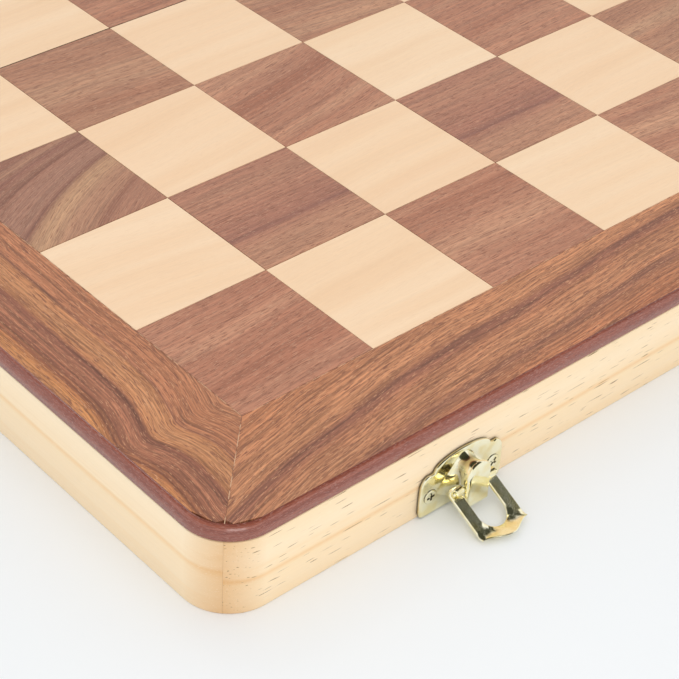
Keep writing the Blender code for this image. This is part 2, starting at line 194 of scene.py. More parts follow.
@dataclass(frozen=True)
class Timber(Finish):
    """A sawn or sliced wood whose figure is built up from layers of stretched noise.

    Every width is across the grain and every length along it, in millimetres.
    """

    name: str = "timber"
    dark: str = "#a87259"
    body: str = "#ba866b"
    light: str = "#c8997b"
    streak: str = "#8d5e4f"
    pore: str = "#85543f"
    fleck: str = "#dcb090"
    cool: str = "#f4f6ef"
    warm: str = "#fff3ee"
    spread: float = 0.2
    band_width: float = 9.0
    band_length: float = 240.0
    streak_width: float = 14.0
    streak_level: float = 0.61
    streak_soft: float = 0.14
    streak_share: float = 0.6
    line_width: float = 0.8
    line_length: float = 42.0
    line_depth: float = 0.22
    pore_width: float = 0.19
    pore_length: float = 3.0
    pore_level: float = 0.62
    pore_soft: float = 0.06
    pore_share: float = 0.7
    fleck_width: float = 0.15
    fleck_length: float = 1.8
    fleck_level: float = 0.7
    fleck_soft: float = 0.05
    fleck_share: float = 0.45
    fleck_shift: Point = (310.0, 470.0, 90.0)
    wander: float = 1.2
    wander_length: float = 45.0
    bands: Bands = ()
    noise_span: Flat = (0.3, 0.7)
    roughness: Flat = (0.4, 0.52)
    relief: float = 0.02
    coat: float = 0.0
    coat_roughness: float = 0.12
    specular: float = 0.35
    source: GrainSource = GrainSource.PIECE

    @staticmethod
    def layer(
        tree: NodeTree, place: Feed, length: float, width: float, detail: float
    ) -> Node:
        """Lay noise stretched along the grain.

        Args:
            tree: the material's tree.
            place: the grain coordinates in millimetres.
            length: size of a mark along the grain.
            width: size of a mark across the grain.
            detail: how many finer octaves the noise has.

        Returns:
            The noise node.
        """
        scale = (1 / length, 1 / width, 1 / width)
        squeezed = add_node(tree, "VectorMath", {"operation": "MULTIPLY", 1: scale}, {0: place})
        settings = {"Scale": 1.0, "Detail": detail, "Roughness": 0.55}
        return add_node(tree, "TexNoise", settings, {"Vector": squeezed})

    def coordinates(self, tree: NodeTree) -> Node:
        """Return grain coordinates in millimetres, with the slow wander of a real tree.

        Args:
            tree: the material's tree.

        Returns:
            The node that gives them.
        """
        start: Feed
        if self.source is GrainSource.PIECE:
            start = add_node(tree, "Attribute", {"attribute_name": GRAIN}).outputs["Vector"]
        else:
            place = add_node(tree, "TexCoord").outputs["Object"]
            settings = {"operation": "SCALE", "Scale": 1 / MM}
            start = add_node(tree, "VectorMath", settings, {0: place})
        settings = {"Scale": 1 / self.wander_length, "Detail": 1.0}
        slow = add_node(tree, "TexNoise", settings, {"Vector": start}).outputs["Color"]
        half = (0.5, 0.5, 0.5)
        centred = add_node(tree, "VectorMath", {"operation": "SUBTRACT", 1: half}, {0: slow})
        swing = 4 * self.wander
        settings = {"operation": "MULTIPLY_ADD", 1: (0.0, swing, swing)}
        return add_node(tree, "VectorMath", settings, {0: centred, 2: start})

    def ground(self, tree: NodeTree, place: Feed) -> Node:
        """Colour the broad bands.

        Args:
            tree: the material's tree.
            place: the grain coordinates in millimetres.

        Returns:
            The ramp of a listed order of bands, or of noise where none is listed.
        """
        if self.bands:
            low, high = self.bands[0][0], self.bands[-1][0]
            across = add_node(tree, "SeparateXYZ", feeds={0: place}).outputs["Y"]
            ends = {"From Min": low, "From Max": high}
            share = add_node(tree, "MapRange", ends, {"Value": across})
            stops = [((at - low) / (high - low), code) for at, code in self.bands]
        else:
            share = self.layer(tree, place, self.band_length, self.band_width, 3.0)
            low, high = 0.5 - self.spread, 0.5 + self.spread
            stops = [(low, self.dark), (0.5, self.body), (high, self.light)]
        return add_node(tree, "ValToRGB", {"stops": stops}, {0: share})

    def marks(
        self, tree: NodeTree, colour: Feed, noise: Feed, mark: Mark
    ) -> tuple[NodeSocket, Node]:
        """Print marks of one colour where a noise rises above their level.

        Args:
            tree: the material's tree.
            colour: what is there already.
            noise: the noise that places the marks.
            mark: which marks they are.

        Returns:
            The new colour and the mask of the marks.
        """
        kind = mark.value
        level, soft, share = (getattr(self, f"{kind}_{end}") for end in ("level", "soft", "share"))
        ends = {"From Min": level, "From Max": level + soft, "To Max": share}
        mask = add_node(tree, "MapRange", ends, {"Value": noise})
        settings = {"data_type": "RGBA", 7: getattr(self, kind)}
        mixed = add_node(tree, "Mix", settings, {0: mask, 6: colour})
        return mixed.outputs[2], mask

    def shader(self, tree: NodeTree) -> Node:
        """Lay bands, streaks, fine lines, tint, pores and torn flecks over each other.

        Args:
            tree: the material's tree.

        Returns:
            The shader node.
        """
        place = self.coordinates(tree)
        colour: Feed = self.ground(tree, place)
        broad = self.layer(tree, place, self.band_length, self.streak_width, 2.0)
        colour, _ = self.marks(tree, colour, broad, Mark.STREAK)
        lines = self.layer(tree, place, self.line_length, self.line_width, 3.0)
        span = {"From Min": self.noise_span[0], "From Max": self.noise_span[1]}
        ends = {"To Min": 1 - self.line_depth, "To Max": 1 + self.line_depth}
        shade = add_node(tree, "MapRange", span | ends, {"Value": lines})
        lined = add_node(tree, "VectorMath", {"operation": "SCALE"}, {0: colour, "Scale": shade})
        tone = add_node(tree, "Attribute", {"attribute_name": TONE}).outputs["Fac"]
        settings = {"data_type": "RGBA", 6: self.cool, 7: self.warm}
        tint = add_node(tree, "Mix", settings, {0: tone}).outputs[2]
        colour = add_node(tree, "VectorMath", {"operation": "MULTIPLY"}, {0: lined, 1: tint})
        pores = self.layer(tree, place, self.pore_length, self.pore_width, 0.0)
        colour, holes = self.marks(tree, colour, pores, Mark.PORE)
        settings = {"operation": "ADD", 1: self.fleck_shift}
        shifted = add_node(tree, "VectorMath", settings, {0: place})
        flecks = self.layer(tree, shifted, self.fleck_length, self.fleck_width, 0.0)
        colour, _ = self.marks(tree, colour, flecks, Mark.FLECK)
        ends = {"To Min": self.roughness[0], "To Max": self.roughness[1]}
        rough = add_node(tree, "MapRange", span | ends, {"Value": lines})
        settings = {"operation": "MULTIPLY_ADD", 1: -1.0}
        height = add_node(tree, "Math", settings, {0: holes, 2: lines})
        settings = {"Strength": 1.0, "Distance": self.relief * MM}
        bump = add_node(tree, "Bump", settings, {"Height": height})
        settings = {
            "Specular IOR Level": self.specular,
            "Coat Weight": self.coat,
            "Coat Roughness": self.coat_roughness,
        }
        feeds = {"Base Color": colour, "Roughness": rough, "Normal": bump}
        return add_node(tree, "BsdfPrincipled", settings, feeds)


@dataclass(frozen=True)
class WalnutVeneer(Timber):
    """Sliced walnut, sanded and matt-lacquered: mauve-tan with open pores and soft streaks."""

    name: str = "sliced_walnut"


@dataclass(frozen=True)
class WalnutBorder(Timber):
    """Walnut crossbanding: redder strips with a bolder figure and bright torn fibres."""

    name: str = "crossband_walnut"
    streak: str = "#8a5642"
    streak_share: float = 0.3
    line_width: float = 0.6
    line_depth: float = 0.46
    pore_width: float = 0.2
    pore_level: float = 0.6
    pore_share: float = 0.8
    fleck: str = "#e0a67c"
    fleck_width: float = 0.17
    fleck_length: float = 1.7
    fleck_level: float = 0.69
    fleck_share: float = 0.6


@dataclass(frozen=True)
class MapleVeneer(Timber):
    """Sliced hard maple, matt-lacquered: nearly plain cream with faint pink streaks."""

    name: str = "sliced_maple"
    dark: str = "#f2cea9"
    body: str = "#f6d5b2"
    light: str = "#f9dcbc"
    streak: str = "#efc5a0"
    pore: str = "#e8c39d"
    fleck: str = "#fbe4ca"
    cool: str = "#fffdf8"
    warm: str = "#fffaf4"
    streak_share: float = 0.35
    line_depth: float = 0.018
    pore_share: float = 0.25
    fleck_share: float = 0.2
    relief: float = 0.006


@dataclass(frozen=True)
class StainedEdge(Timber):
    """Core board with a moulded edge, dyed mahogany red and gloss-lacquered."""

    name: str = "stained_lacquered_edge"
    dark: str = "#7d3b2b"
    body: str = "#8e4a37"
    light: str = "#9d5a47"
    streak: str = "#793c30"
    pore: str = "#683025"
    # fleck: pale flecks in the colour of the lacquer's highlight, a painted highlight
    fleck: str = "#b88a7e"
    cool: str = "#fffdfc"
    # warm: the dark tint of the painted shade along the foot and the top of the edge
    warm: str = "#a87c6e"
    band_width: float = 2.5
    streak_share: float = 0.4
    line_width: float = 0.6
    line_depth: float = 0.1
    fleck_level: float = 0.64
    fleck_share: float = 0.5
    fleck_length: float = 1.0
    roughness: Flat = (0.3, 0.42)
    coat: float = 1.0
    relief: float = 0.01


@dataclass(frozen=True)
class LacqueredPine(Timber):
    """Planed pine under clear lacquer: cream with a soft orange band and sparse resin ducts.

    The end grain of the rounded corners drinks more lacquer, which darkens it.
    """

    name: str = "lacquered_pine"
    dark: str = "#f6d4a6"
    body: str = "#fbe1bc"
    light: str = "#fde7c6"
    streak: str = "#f5d2a2"
    pore: str = "#8c6840"
    fleck: str = "#fdf0d8"
    cool: str = "#fffefb"
    warm: str = "#e6d2ba"
    band_width: float = 4.5
    band_length: float = 320.0
    streak_width: float = 3.5
    streak_share: float = 0.35
    line_depth: float = 0.015
    pore_width: float = 0.32
    pore_length: float = 5.5
    pore_level: float = 0.75
    pore_share: float = 0.85
    fleck_share: float = 0.2
    wander: float = 0.5
    wander_length: float = 90.0
    relief: float = 0.006
    coat: float = 0.15
    roughness: Flat = (0.32, 0.42)


@dataclass(frozen=True)
class TurnedMaple(MapleVeneer):
    """Turned and waxed maple of the pale men: creamy, with a soft shine."""

    name: str = "turned_maple"
    coat: float = 0.4
    roughness: Flat = (0.25, 0.35)


@dataclass(frozen=True)
class TurnedWalnut(WalnutVeneer):
    """Turned and waxed walnut of the dark men: deep brown, with a soft shine."""

    name: str = "turned_walnut"
    dark: str = "#4a2a20"
    body: str = "#5d382a"
    light: str = "#714735"
    streak: str = "#3d221b"
    pore: str = "#2f1a14"
    fleck: str = "#8a5c46"
    coat: float = 0.4
    roughness: Flat = (0.25, 0.35)


@dataclass(frozen=True)
class DrawnBrass(Finish):
    """Brass-plated steel, deep drawn and polished: a pale gold mirror with faint waves.

    Corners, creases and screw slots get painted shade: a dark brown mixed in where the tone
    attribute is high.
    """

    name: str = "polished_brass_plate"
    colour: str = "#fdf8da"
    deep: str = "#f6eab8"
    # colour of the painted shade in corners, creases and screw slots
    painted_shade: str = "#3c2f16"
    roughness: Flat = (0.07, 0.14)
    wave: float = 3.0
    wave_height: float = 0.012
    orange_peel: float = 0.25
    grit: float = 0.2

    def shader(self, tree: NodeTree) -> Node:
        """Tint the metal by its waves, paint shade into its corners and dent it with orange peel.

        Args:
            tree: the material's tree.

        Returns:
            The shader node.
        """
        waves = mottle(tree, self.wave * MM, 1.0)
        peel = mottle(tree, self.orange_peel * MM, 1.0)
        stops = [(0.35, self.deep), (0.6, self.colour)]
        tint = add_node(tree, "ValToRGB", {"stops": stops}, {0: waves})
        # painted shade: the tone attribute marks corners, creases and screw slots, which are
        # darkened toward a dark brown
        corners = add_node(tree, "Attribute", {"attribute_name": TONE}).outputs["Fac"]
        shaded = add_node(tree, "Mix", {"data_type": "RGBA", 7: self.painted_shade}, {0: corners, 6: tint})
        ends = {"To Min": self.roughness[0], "To Max": self.roughness[1]}
        rough = add_node(tree, "MapRange", ends, {"Value": peel})
        height = self.wave_height * MM
        broad = add_node(tree, "Bump", {"Distance": height}, {"Height": waves})
        settings = {"Distance": height * self.grit}
        fine = add_node(tree, "Bump", settings, {"Height": peel, "Normal": broad})
        feeds = {"Base Color": shaded.outputs[2], "Roughness": rough, "Normal": fine}
        return add_node(tree, "BsdfPrincipled", {"Metallic": 1.0}, feeds)


@dataclass(frozen=True)
class FeltedFoam(Finish):
    """Dense die-cut foam faced with flocked felt: deep green, dull, with a short nap."""

    name: str = "flocked_foam"
    pile: str = "#1f4a33"
    deep: str = "#143524"
    tuft: float = 0.8
    nap_height: float = 0.15

    def shader(self, tree: NodeTree) -> Node:
        """Shade between the tufts and raise them.

        Args:
            tree: the material's tree.

        Returns:
            The shader node.
        """
        nap = mottle(tree, self.tuft * MM, 4.0, 0.7)
        stops = [(0.35, self.deep), (0.65, self.pile)]
        tint = add_node(tree, "ValToRGB", {"stops": stops}, {0: nap})
        bump = add_node(tree, "Bump", {"Distance": self.nap_height * MM}, {"Height": nap})
        settings = {"Roughness": 0.95, "Sheen Weight": 0.4, "Sheen Roughness": 0.5}
        return add_node(tree, "BsdfPrincipled", settings, {"Base Color": tint, "Normal": bump})


@dataclass(frozen=True)
class GlueLine(Finish):
    """Set glue and pale filler in a joint: broken cream where it shows, brown where sunk."""

    name: str = "joint_filler"
    pale: str = "#dcb592"
    sunk: str = "#8c5a42"
    patch: float = 2.5

    def shader(self, tree: NodeTree) -> Node:
        """Break the filler into sunk and proud patches.

        Args:
            tree: the material's tree.

        Returns:
            The shader node.
        """
        patches = mottle(tree, self.patch * MM, 2.0)
        stops = [(0.42, self.sunk), (0.55, self.pale)]
        tint = add_node(tree, "ValToRGB", {"stops": stops}, {0: patches})
        rough = add_node(tree, "MapRange", {"To Min": 0.4, "To Max": 0.6}, {"Value": patches})
        feeds = {"Base Color": tint, "Roughness": rough}
        return add_node(tree, "BsdfPrincipled", {"Specular IOR Level": 0.3}, feeds)


@dataclass(frozen=True)
class BackdropPaper(Finish):
    """Matt white studio paper with a hardly visible tooth."""

    name: str = "white_paper"
    colour: str = "#f3f5f6"
    shade: str = "#f0f2f3"
    patch: float = 1000 / 6

    def shader(self, tree: NodeTree) -> Node:
        """Vary the white by a trace.

        Args:
            tree: the material's tree.

        Returns:
            The shader node.
        """
        tooth = mottle(tree, self.patch * MM, 2.0)
        stops = [(0.3, self.shade), (0.7, self.colour)]
        tint = add_node(tree, "ValToRGB", {"stops": stops}, {0: tooth})
        settings = {"Roughness": 0.9, "Specular IOR Level": 0.1}
        return add_node(tree, "BsdfPrincipled", settings, {"Base Color": tint})


# Bands of the side strips, in millimetres out from the squares.
SIDE_BANDS: Bands = (
    (-6.0, "#bd8260"), (1.0, "#b67a58"), (6.9, "#b97c5a"), (7.6, "#9c6850"), (8.4, "#bd8259"),
    (11.5, "#c68d63"), (14.4, "#bd8259"), (15.6, "#915d48"), (16.4, "#8d5a47"), (17.2, "#a16a52"),
    (19.2, "#ad7357"), (21.5, "#a0684f"), (22.2, "#8c5843"), (22.9, "#af7452"), (23.6, "#8a553f"),
    (24.5, "#bd7d51"), (26.4, "#cb8c58"), (28.0, "#c4875a"), (28.8, "#96603f"), (33.0, "#b07550"),
)
# Bands of the strips along the outer edges, across from their one strong line.
END_BANDS: Bands = (
    (-28.0, "#b87a56"), (-16.0, "#bd7f5a"), (-8.0, "#c18560"), (-3.0, "#c58a64"),
    (-1.4, "#b57c5a"), (0.0, "#8d5d4b"), (1.6, "#9d6852"), (4.0, "#b97e5c"), (8.0, "#c18864"),
    (11.0, "#ba805d"), (13.0, "#9c6a54"), (14.6, "#ab7456"), (18.0, "#b77a57"), (22.0, "#b27250"),
    (27.0, "#a86b4c"), (34.0, "#b27552"),
)
# Bands of the one boldly swept square, across its curving figure.
SWEPT_BANDS: Bands = (
    (-60.0, "#b07c64"), (-30.0, "#b4826a"), (-25.0, "#a06f5a"), (-22.0, "#b5866c"),
    (-14.0, "#bb8d71"), (-7.0, "#c69c7a"), (-2.5, "#ba8f70"), (0.0, "#8e6152"), (2.0, "#a97d69"),
    (8.0, "#ad806c"), (13.5, "#a87a66"), (15.2, "#8c5f4f"), (17.5, "#a97c67"), (21.0, "#98695a"),
    (24.0, "#b0846c"), (28.0, "#9a6b59"), (40.0, "#b08468"),
)
# Bands of the squares with one purple line straight across, up from their outer edge.
RULED_BANDS: Bands = (
    (-4.0, "#be8c70"), (9.0, "#bf8d72"), (12.8, "#b47f68"), (14.3, "#98685a"), (16.0, "#ad7864"),
    (24.0, "#b57f68"), (33.0, "#b9866d"), (44.0, "#b07964"),
)
# Bands of the rails over their height; each has the one orange stripe of late wood.
FLECKED_PINE_BANDS: Bands = (
    (-1.0, "#f9dcb2"), (4.0, "#fbe2be"), (8.7, "#fbe1bb"), (9.8, "#f5cf9e"), (10.9, "#fbe1bc"),
    (16.0, "#fce5c4"), (22.0, "#fadfb8"),
)
PLAIN_PINE_BANDS: Bands = (
    (-1.0, "#fadfb8"), (5.0, "#fbe3c0"), (11.2, "#fbe2be"), (12.6, "#f6d3a4"), (13.6, "#fce4c2"),
    (22.0, "#fde8c8"),
)


def new_material(finish: Finish) -> Any:
    """Return a dataclass field that makes the material of a finish."""
    return field(default_factory=finish.material)


@dataclass
class Finishes:
    """Every material of the set, built once."""

    walnut: Material = new_material(WalnutVeneer())
    maple: Material = new_material(MapleVeneer())
    stain: Material = new_material(StainedEdge())
    pine: Material = new_material(LacqueredPine(bands=FLECKED_PINE_BANDS))
    plain_pine: Material = new_material(
        LacqueredPine(name="plain_lacquered_pine", bands=PLAIN_PINE_BANDS, pore_share=0.0)
    )
    brass: Material = new_material(DrawnBrass())
    strip_brass: Material = new_material(
        DrawnBrass(name="tumbled_brass_strip", orange_peel=0.22, grit=1.6, roughness=(0.08, 0.2))
    )
    felt: Material = new_material(FeltedFoam())
    glue: Material = new_material(GlueLine())
    pale_men: Material = new_material(TurnedMaple())
    dark_men: Material = new_material(TurnedWalnut())
    frame_pine: Material = new_material(
        LacqueredPine(name="lacquered_pine_core", source=GrainSource.ALONG_X)
    )
    end_border: Material = new_material(WalnutBorder(bands=END_BANDS))
    side_border: Material = new_material(
        WalnutBorder(name="figured_crossband_walnut", bands=SIDE_BANDS, wander=0.5)
    )
    swept: Material = new_material(
        WalnutVeneer(name="swept_walnut", bands=SWEPT_BANDS, streak_share=0.2, wander=0.5)
    )
    ruled: Material = new_material(
        WalnutVeneer(name="ruled_walnut", bands=RULED_BANDS, streak_share=0.2, wander=0.4)
    )


# -------------------------------------------------------------------- mesh drafting


def publish(mesh: Mesh, shape: bmesh.types.BMesh, material: Material, sharp: float) -> Object:
    """Write a shape into its mesh, finish it and put it in the scene.

    Args:
        mesh: the mesh that takes the shape, under the object's name.
        shape: the shape, which is freed.
        material: what it is made of.
        sharp: edges that turn by more than this many degrees stay crisp.

    Returns:
        The new object.
    """
    shape.to_mesh(mesh)
    shape.free()
    mesh.materials.append(material)
    mesh.shade_smooth()
    mesh.set_sharp_from_angle(angle=math.radians(sharp))
    thing = bpy.data.objects.new(mesh.name, mesh)
    bpy.context.scene.collection.objects.link(thing)
    return thing


@dataclass
class Draft:
    """Vertices, faces and grain of one piece before it becomes an object."""

    name: str
    points: list[Point] = field(default_factory=list)
    faces: list[tuple[int, ...]] = field(default_factory=list)
    grain: list[Point] = field(default_factory=list)
    tone: list[float] = field(default_factory=list)
    current_tone: float = 0.5
    grain_of: Callable[[Point], Point] = field(default=lambda place: place)
    tone_of: Callable[[Point], float] | None = None

    def add(self, place: Point, grain: Point | None = None) -> int:
        """Add a vertex.

        Args:
            place: its place in millimetres.
            grain: its grain coordinates, or None for those of grain_of.

        Returns:
            The vertex's index.
        """
        self.points.append(place)
        self.grain.append(self.grain_of(place) if grain is None else grain)
        self.tone.append(self.tone_of(place) if self.tone_of else self.current_tone)
        return len(self.points) - 1

    def loft(
        self,
        rings: Sequence[Sequence[Point]],
        caps: bool = True,
        grains: Sequence[Sequence[Point]] | None = None,
        tones: Sequence[float] | None = None,
    ) -> None:
        """Bridge closed rings of equal length into one skin.

        Args:
            rings: the rings in order.
            caps: whether both ends are closed with one face.
            grains: grain coordinates of each ring's points, or None.
            tones: the tone of each ring, or None for the current one.
        """
        rows = []
        for level, ring in enumerate(rings):
            if tones:
                self.current_tone = tones[level]
            marks = grains[level] if grains else [None] * len(ring)
            rows.append([self.add(place, grain) for place, grain in zip(ring, marks)])
        count = len(rows[0])
        for low, high in zip(rows, rows[1:]):
            for start in range(count):
                following = (start + 1) % count
                self.faces.append((low[start], low[following], high[following], high[start]))
        if caps:
            self.faces.append(tuple(reversed(rows[0])))
            self.faces.append(tuple(rows[-1]))

    def slab(
        self,
        rows: Sequence[Sequence[Flat]],
        grains: Sequence[Sequence[Point]],
        low: float,
        high: float,
    ) -> None:
        """Make a thin plate from a grid in plan.

        Args:
            rows: plan points, row by row.
            grains: the grain coordinates of those points.
            low: height of the underside.
            high: height of the top.
        """
        below, above = (
            [
                [self.add((x, y, height), grain) for (x, y), grain in zip(row, marks)]
                for row, marks in zip(rows, grains)
            ]
            for height in (low, high)
        )
        across, along = len(rows), len(rows[0])
        for i in range(across - 1):
            for j in range(along - 1):
                quad = ((i, j), (i, j + 1), (i + 1, j + 1), (i + 1, j))
                self.faces.append(tuple(above[m][n] for m, n in quad))
                self.faces.append(tuple(below[m][n] for m, n in (quad[0], *quad[:0:-1])))
        rim = [(0, j) for j in range(along)]
        rim += [(i, along - 1) for i in range(1, across)]
        rim += [(across - 1, j) for j in range(along - 2, -1, -1)]
        rim += [(i, 0) for i in range(across - 2, 0, -1)]
        for (i, j), (k, m) in zip(rim, rim[1:] + rim[:1]):
            self.faces.append((below[i][j], below[k][m], above[k][m], above[i][j]))

    def build(self, material: Material, sharp: float = 40.0, merge: bool = True) -> Object:
        """Turn the draft into an object.

        Args:
            material: what it is made of.
            sharp: edges that turn by more than this many degrees stay crisp.
            merge: whether vertices in the same place become one.

        Returns:
            The new object, linked to the scene.
        """
        mesh = bpy.data.meshes.new(self.name)
        mesh.from_pydata([tuple(c * MM for c in place) for place in self.points], [], self.faces)
        grain = mesh.attributes.new(GRAIN, "FLOAT_VECTOR", "POINT")
        grain.data.foreach_set("vector", [value for place in self.grain for value in place])
        tone = mesh.attributes.new(TONE, "FLOAT", "POINT")
        tone.data.foreach_set("value", self.tone)
        shape = bmesh.new()
        shape.from_mesh(mesh)
        if merge:
            bmesh.ops.remove_doubles(shape, verts=shape.verts, dist=1e-7)
        bmesh.ops.recalc_face_normals(shape, faces=shape.faces)
        return publish(mesh, shape, material, sharp)


def settle(thing: Object, body: str, slot: str, nodes: Sequence[str] = ()) -> None:
    """Seat a piece on its body and hide the frame's nodes that it stands for.

    Args:
        thing: the finished piece.
        body: the body it moves with.
        slot: the record's material slot; not used.
        nodes: the frame's nodes that it stands for.
    """
    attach(thing, body)
    if nodes:
        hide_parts(*nodes)
    LOG.info("%s rides on %s", thing.name, body)


def arc(centre: Flat, radius: float, start: float, end: float, steps: int) -> list[Flat]:
    """Return points along an arc.

    Args:
        centre: its centre.
        radius: its radius.
        start: first angle in degrees.
        end: last angle in degrees.
        steps: number of chords.

    Returns:
        The points, both ends among them.
    """
    found = []
    for step in range(steps + 1):
        turn = math.radians(start + (end - start) * step / steps)
        found.append((centre[0] + radius * math.cos(turn), centre[1] + radius * math.sin(turn)))
    return found


def smoothed(knots: Sequence[Flat], per_span: int) -> list[Flat]:
    """Thread a soft curve through knots.

    Args:
        knots: the points to pass through.
        per_span: how many points each span gets.

    Returns:
        Points along the curve.
    """
    ends = [knots[0], *knots, knots[-1]]
    found: list[Flat] = []
    for before, start, end, after in zip(ends, ends[1:], ends[2:], ends[3:]):
        for step in range(per_span):
            t = step / per_span
            point = []
            for a, b, c, d in zip(before, start, end, after):
                rise = (c - a) * t + (2 * a - 5 * b + 4 * c - d) * t**2
                point.append(b + 0.5 * (rise + (3 * b - a - 3 * c + d) * t**3))
            found.append((point[0], point[1]))
    found.append(knots[-1])
    return found


def interpolated(knots: Sequence[Flat], at: float) -> float:
    """Read a value between knots.

    Args:
        knots: pairs of place and value, in order.
        at: where to read.

    Returns:
        The value there, or that of the nearer end beyond the knots.
    """
    if at <= knots[0][0]:
        return knots[0][1]
    for (start, before), (end, after) in zip(knots, knots[1:]):
        if at <= end:
            share = (at - start) / (end - start)
            return before + (after - before) * share
    return knots[-1][1]


def ray_length(outline: Sequence[Flat], centre: Flat, turn: float) -> float:
    """Return how far an outline lies from a centre in one direction.

    Args:
        outline: a closed polygon around the centre.
        centre: where the ray starts.
        turn: the ray's angle in radians.

    Returns:
        The distance to the polygon.
    """
    dx, dy = math.cos(turn), math.sin(turn)
    best = 0.0
    for (ax, ay), (bx, by) in zip(outline, [*outline[1:], outline[0]]):
        ex, ey = bx - ax, by - ay
        cross = dx * ey - dy * ex
        if abs(cross) < 1e-9:
            continue
        ox, oy = ax - centre[0], ay - centre[1]
        reach = (ox * ey - oy * ex) / cross
        share = (ox * dy - oy * dx) / cross
        if reach > 0 and -1e-6 <= share <= 1 + 1e-6:
            best = max(best, reach)
    return best


# ------------------------------------------------------------------------- the board


class Half(Enum):
    """The two halves of the board; the value is the direction from the fold."""

    NEAR = -1
    FAR = 1

    @property
    def word(self) -> str:
        """The word that starts the half's node names."""
        return self.name.lower()

    @property
    def body(self) -> str:
        """The body that the half's pieces ride on."""
        return f"{self.word}_half"


class Figure(Enum):
    """What runs over a square that stands out; the value names its finish."""

    SWEPT = "swept"
    RULED = "ruled"


FIGURED_SQUARES = {(0, 2): Figure.SWEPT, (1, 1): Figure.RULED, (3, 1): Figure.RULED}
# Tint and slope of the figure of squares that stand apart, by column and rank.
CHOSEN_FIGURE = {
    (0, 0): (1.0, -0.01), (2, 0): (0.85, 0.03), (4, 0): (0.7, 0.05), (1, 3): (0.25, 0.02),
    (3, 3): (0.3, 0.08), (2, 2): (0.75, -0.17), (4, 2): (0.8, -0.06),
}
# How far the figure of a side strip swings outward: (distance in from the mitre, swing).
SIDE_SWING = (
    (-30.0, 5.0), (-20.0, 4.5), (-16.0, 3.6), (-10.0, 3.0), (-5.0, 2.8), (0.0, 3.7), (5.0, 5.5),
    (7.0, 5.7), (11.0, 4.2), (15.0, 2.8), (20.0, 1.3), (25.0, 0.5), (35.0, 0.0), (60.0, 1.0),
    (110.0, -0.6), (170.0, 0.8),
)


@dataclass(frozen=True)
class BoardSizes:
    """Sizes that every part of a half shares, as in the frame."""

    fold_y: float
    square: float = 40.0
    columns: int = 8
    rows: int = 4
    border: float = 30.5
    veneer_border: float = 28.6
    thickness: float = 25.4
    corner: float = 13.0
    veneer: float = 0.6
    edge_band: float = 3.6
    rail: float = 10.0
    fold_gap: float = 0.15
    gap: float = 0.3

    @property
    def field_half(self) -> float:
        """Half the width of the playing field."""
        return self.square * self.columns / 2

    @property
    def half_size(self) -> float:
        """Half the width of the board."""
        return self.field_half + self.border

    @property
    def panel_foot(self) -> float:
        """Height of the core board's underside."""
        return self.thickness - self.edge_band

    def place(self, half: Half, x: float, out: float) -> Flat:
        """Return the plan point at x and at a distance out from the fold."""
        return x, self.fold_y + half.value * out

    def outline(self, half: Half, inset: float, steps: int = 20) -> list[Flat]:
        """Return a half's plan, rounded at its two outer corners.

        Args:
            half: which half.
            inset: how far inside the true edge.
            steps: chords in each corner.

        Returns:
            The closed outline, straight at the fold.
        """
        edge = self.half_size - inset
        radius = self.corner - inset
        centre = edge - radius
        plan = [(-edge, self.fold_gap)]
        plan += arc((-centre, centre), radius, 180, 90, steps)
        plan += arc((centre, centre), radius, 90, 0, steps)
        plan.append((edge, self.fold_gap))
        return [self.place(half, x, out) for x, out in plan]


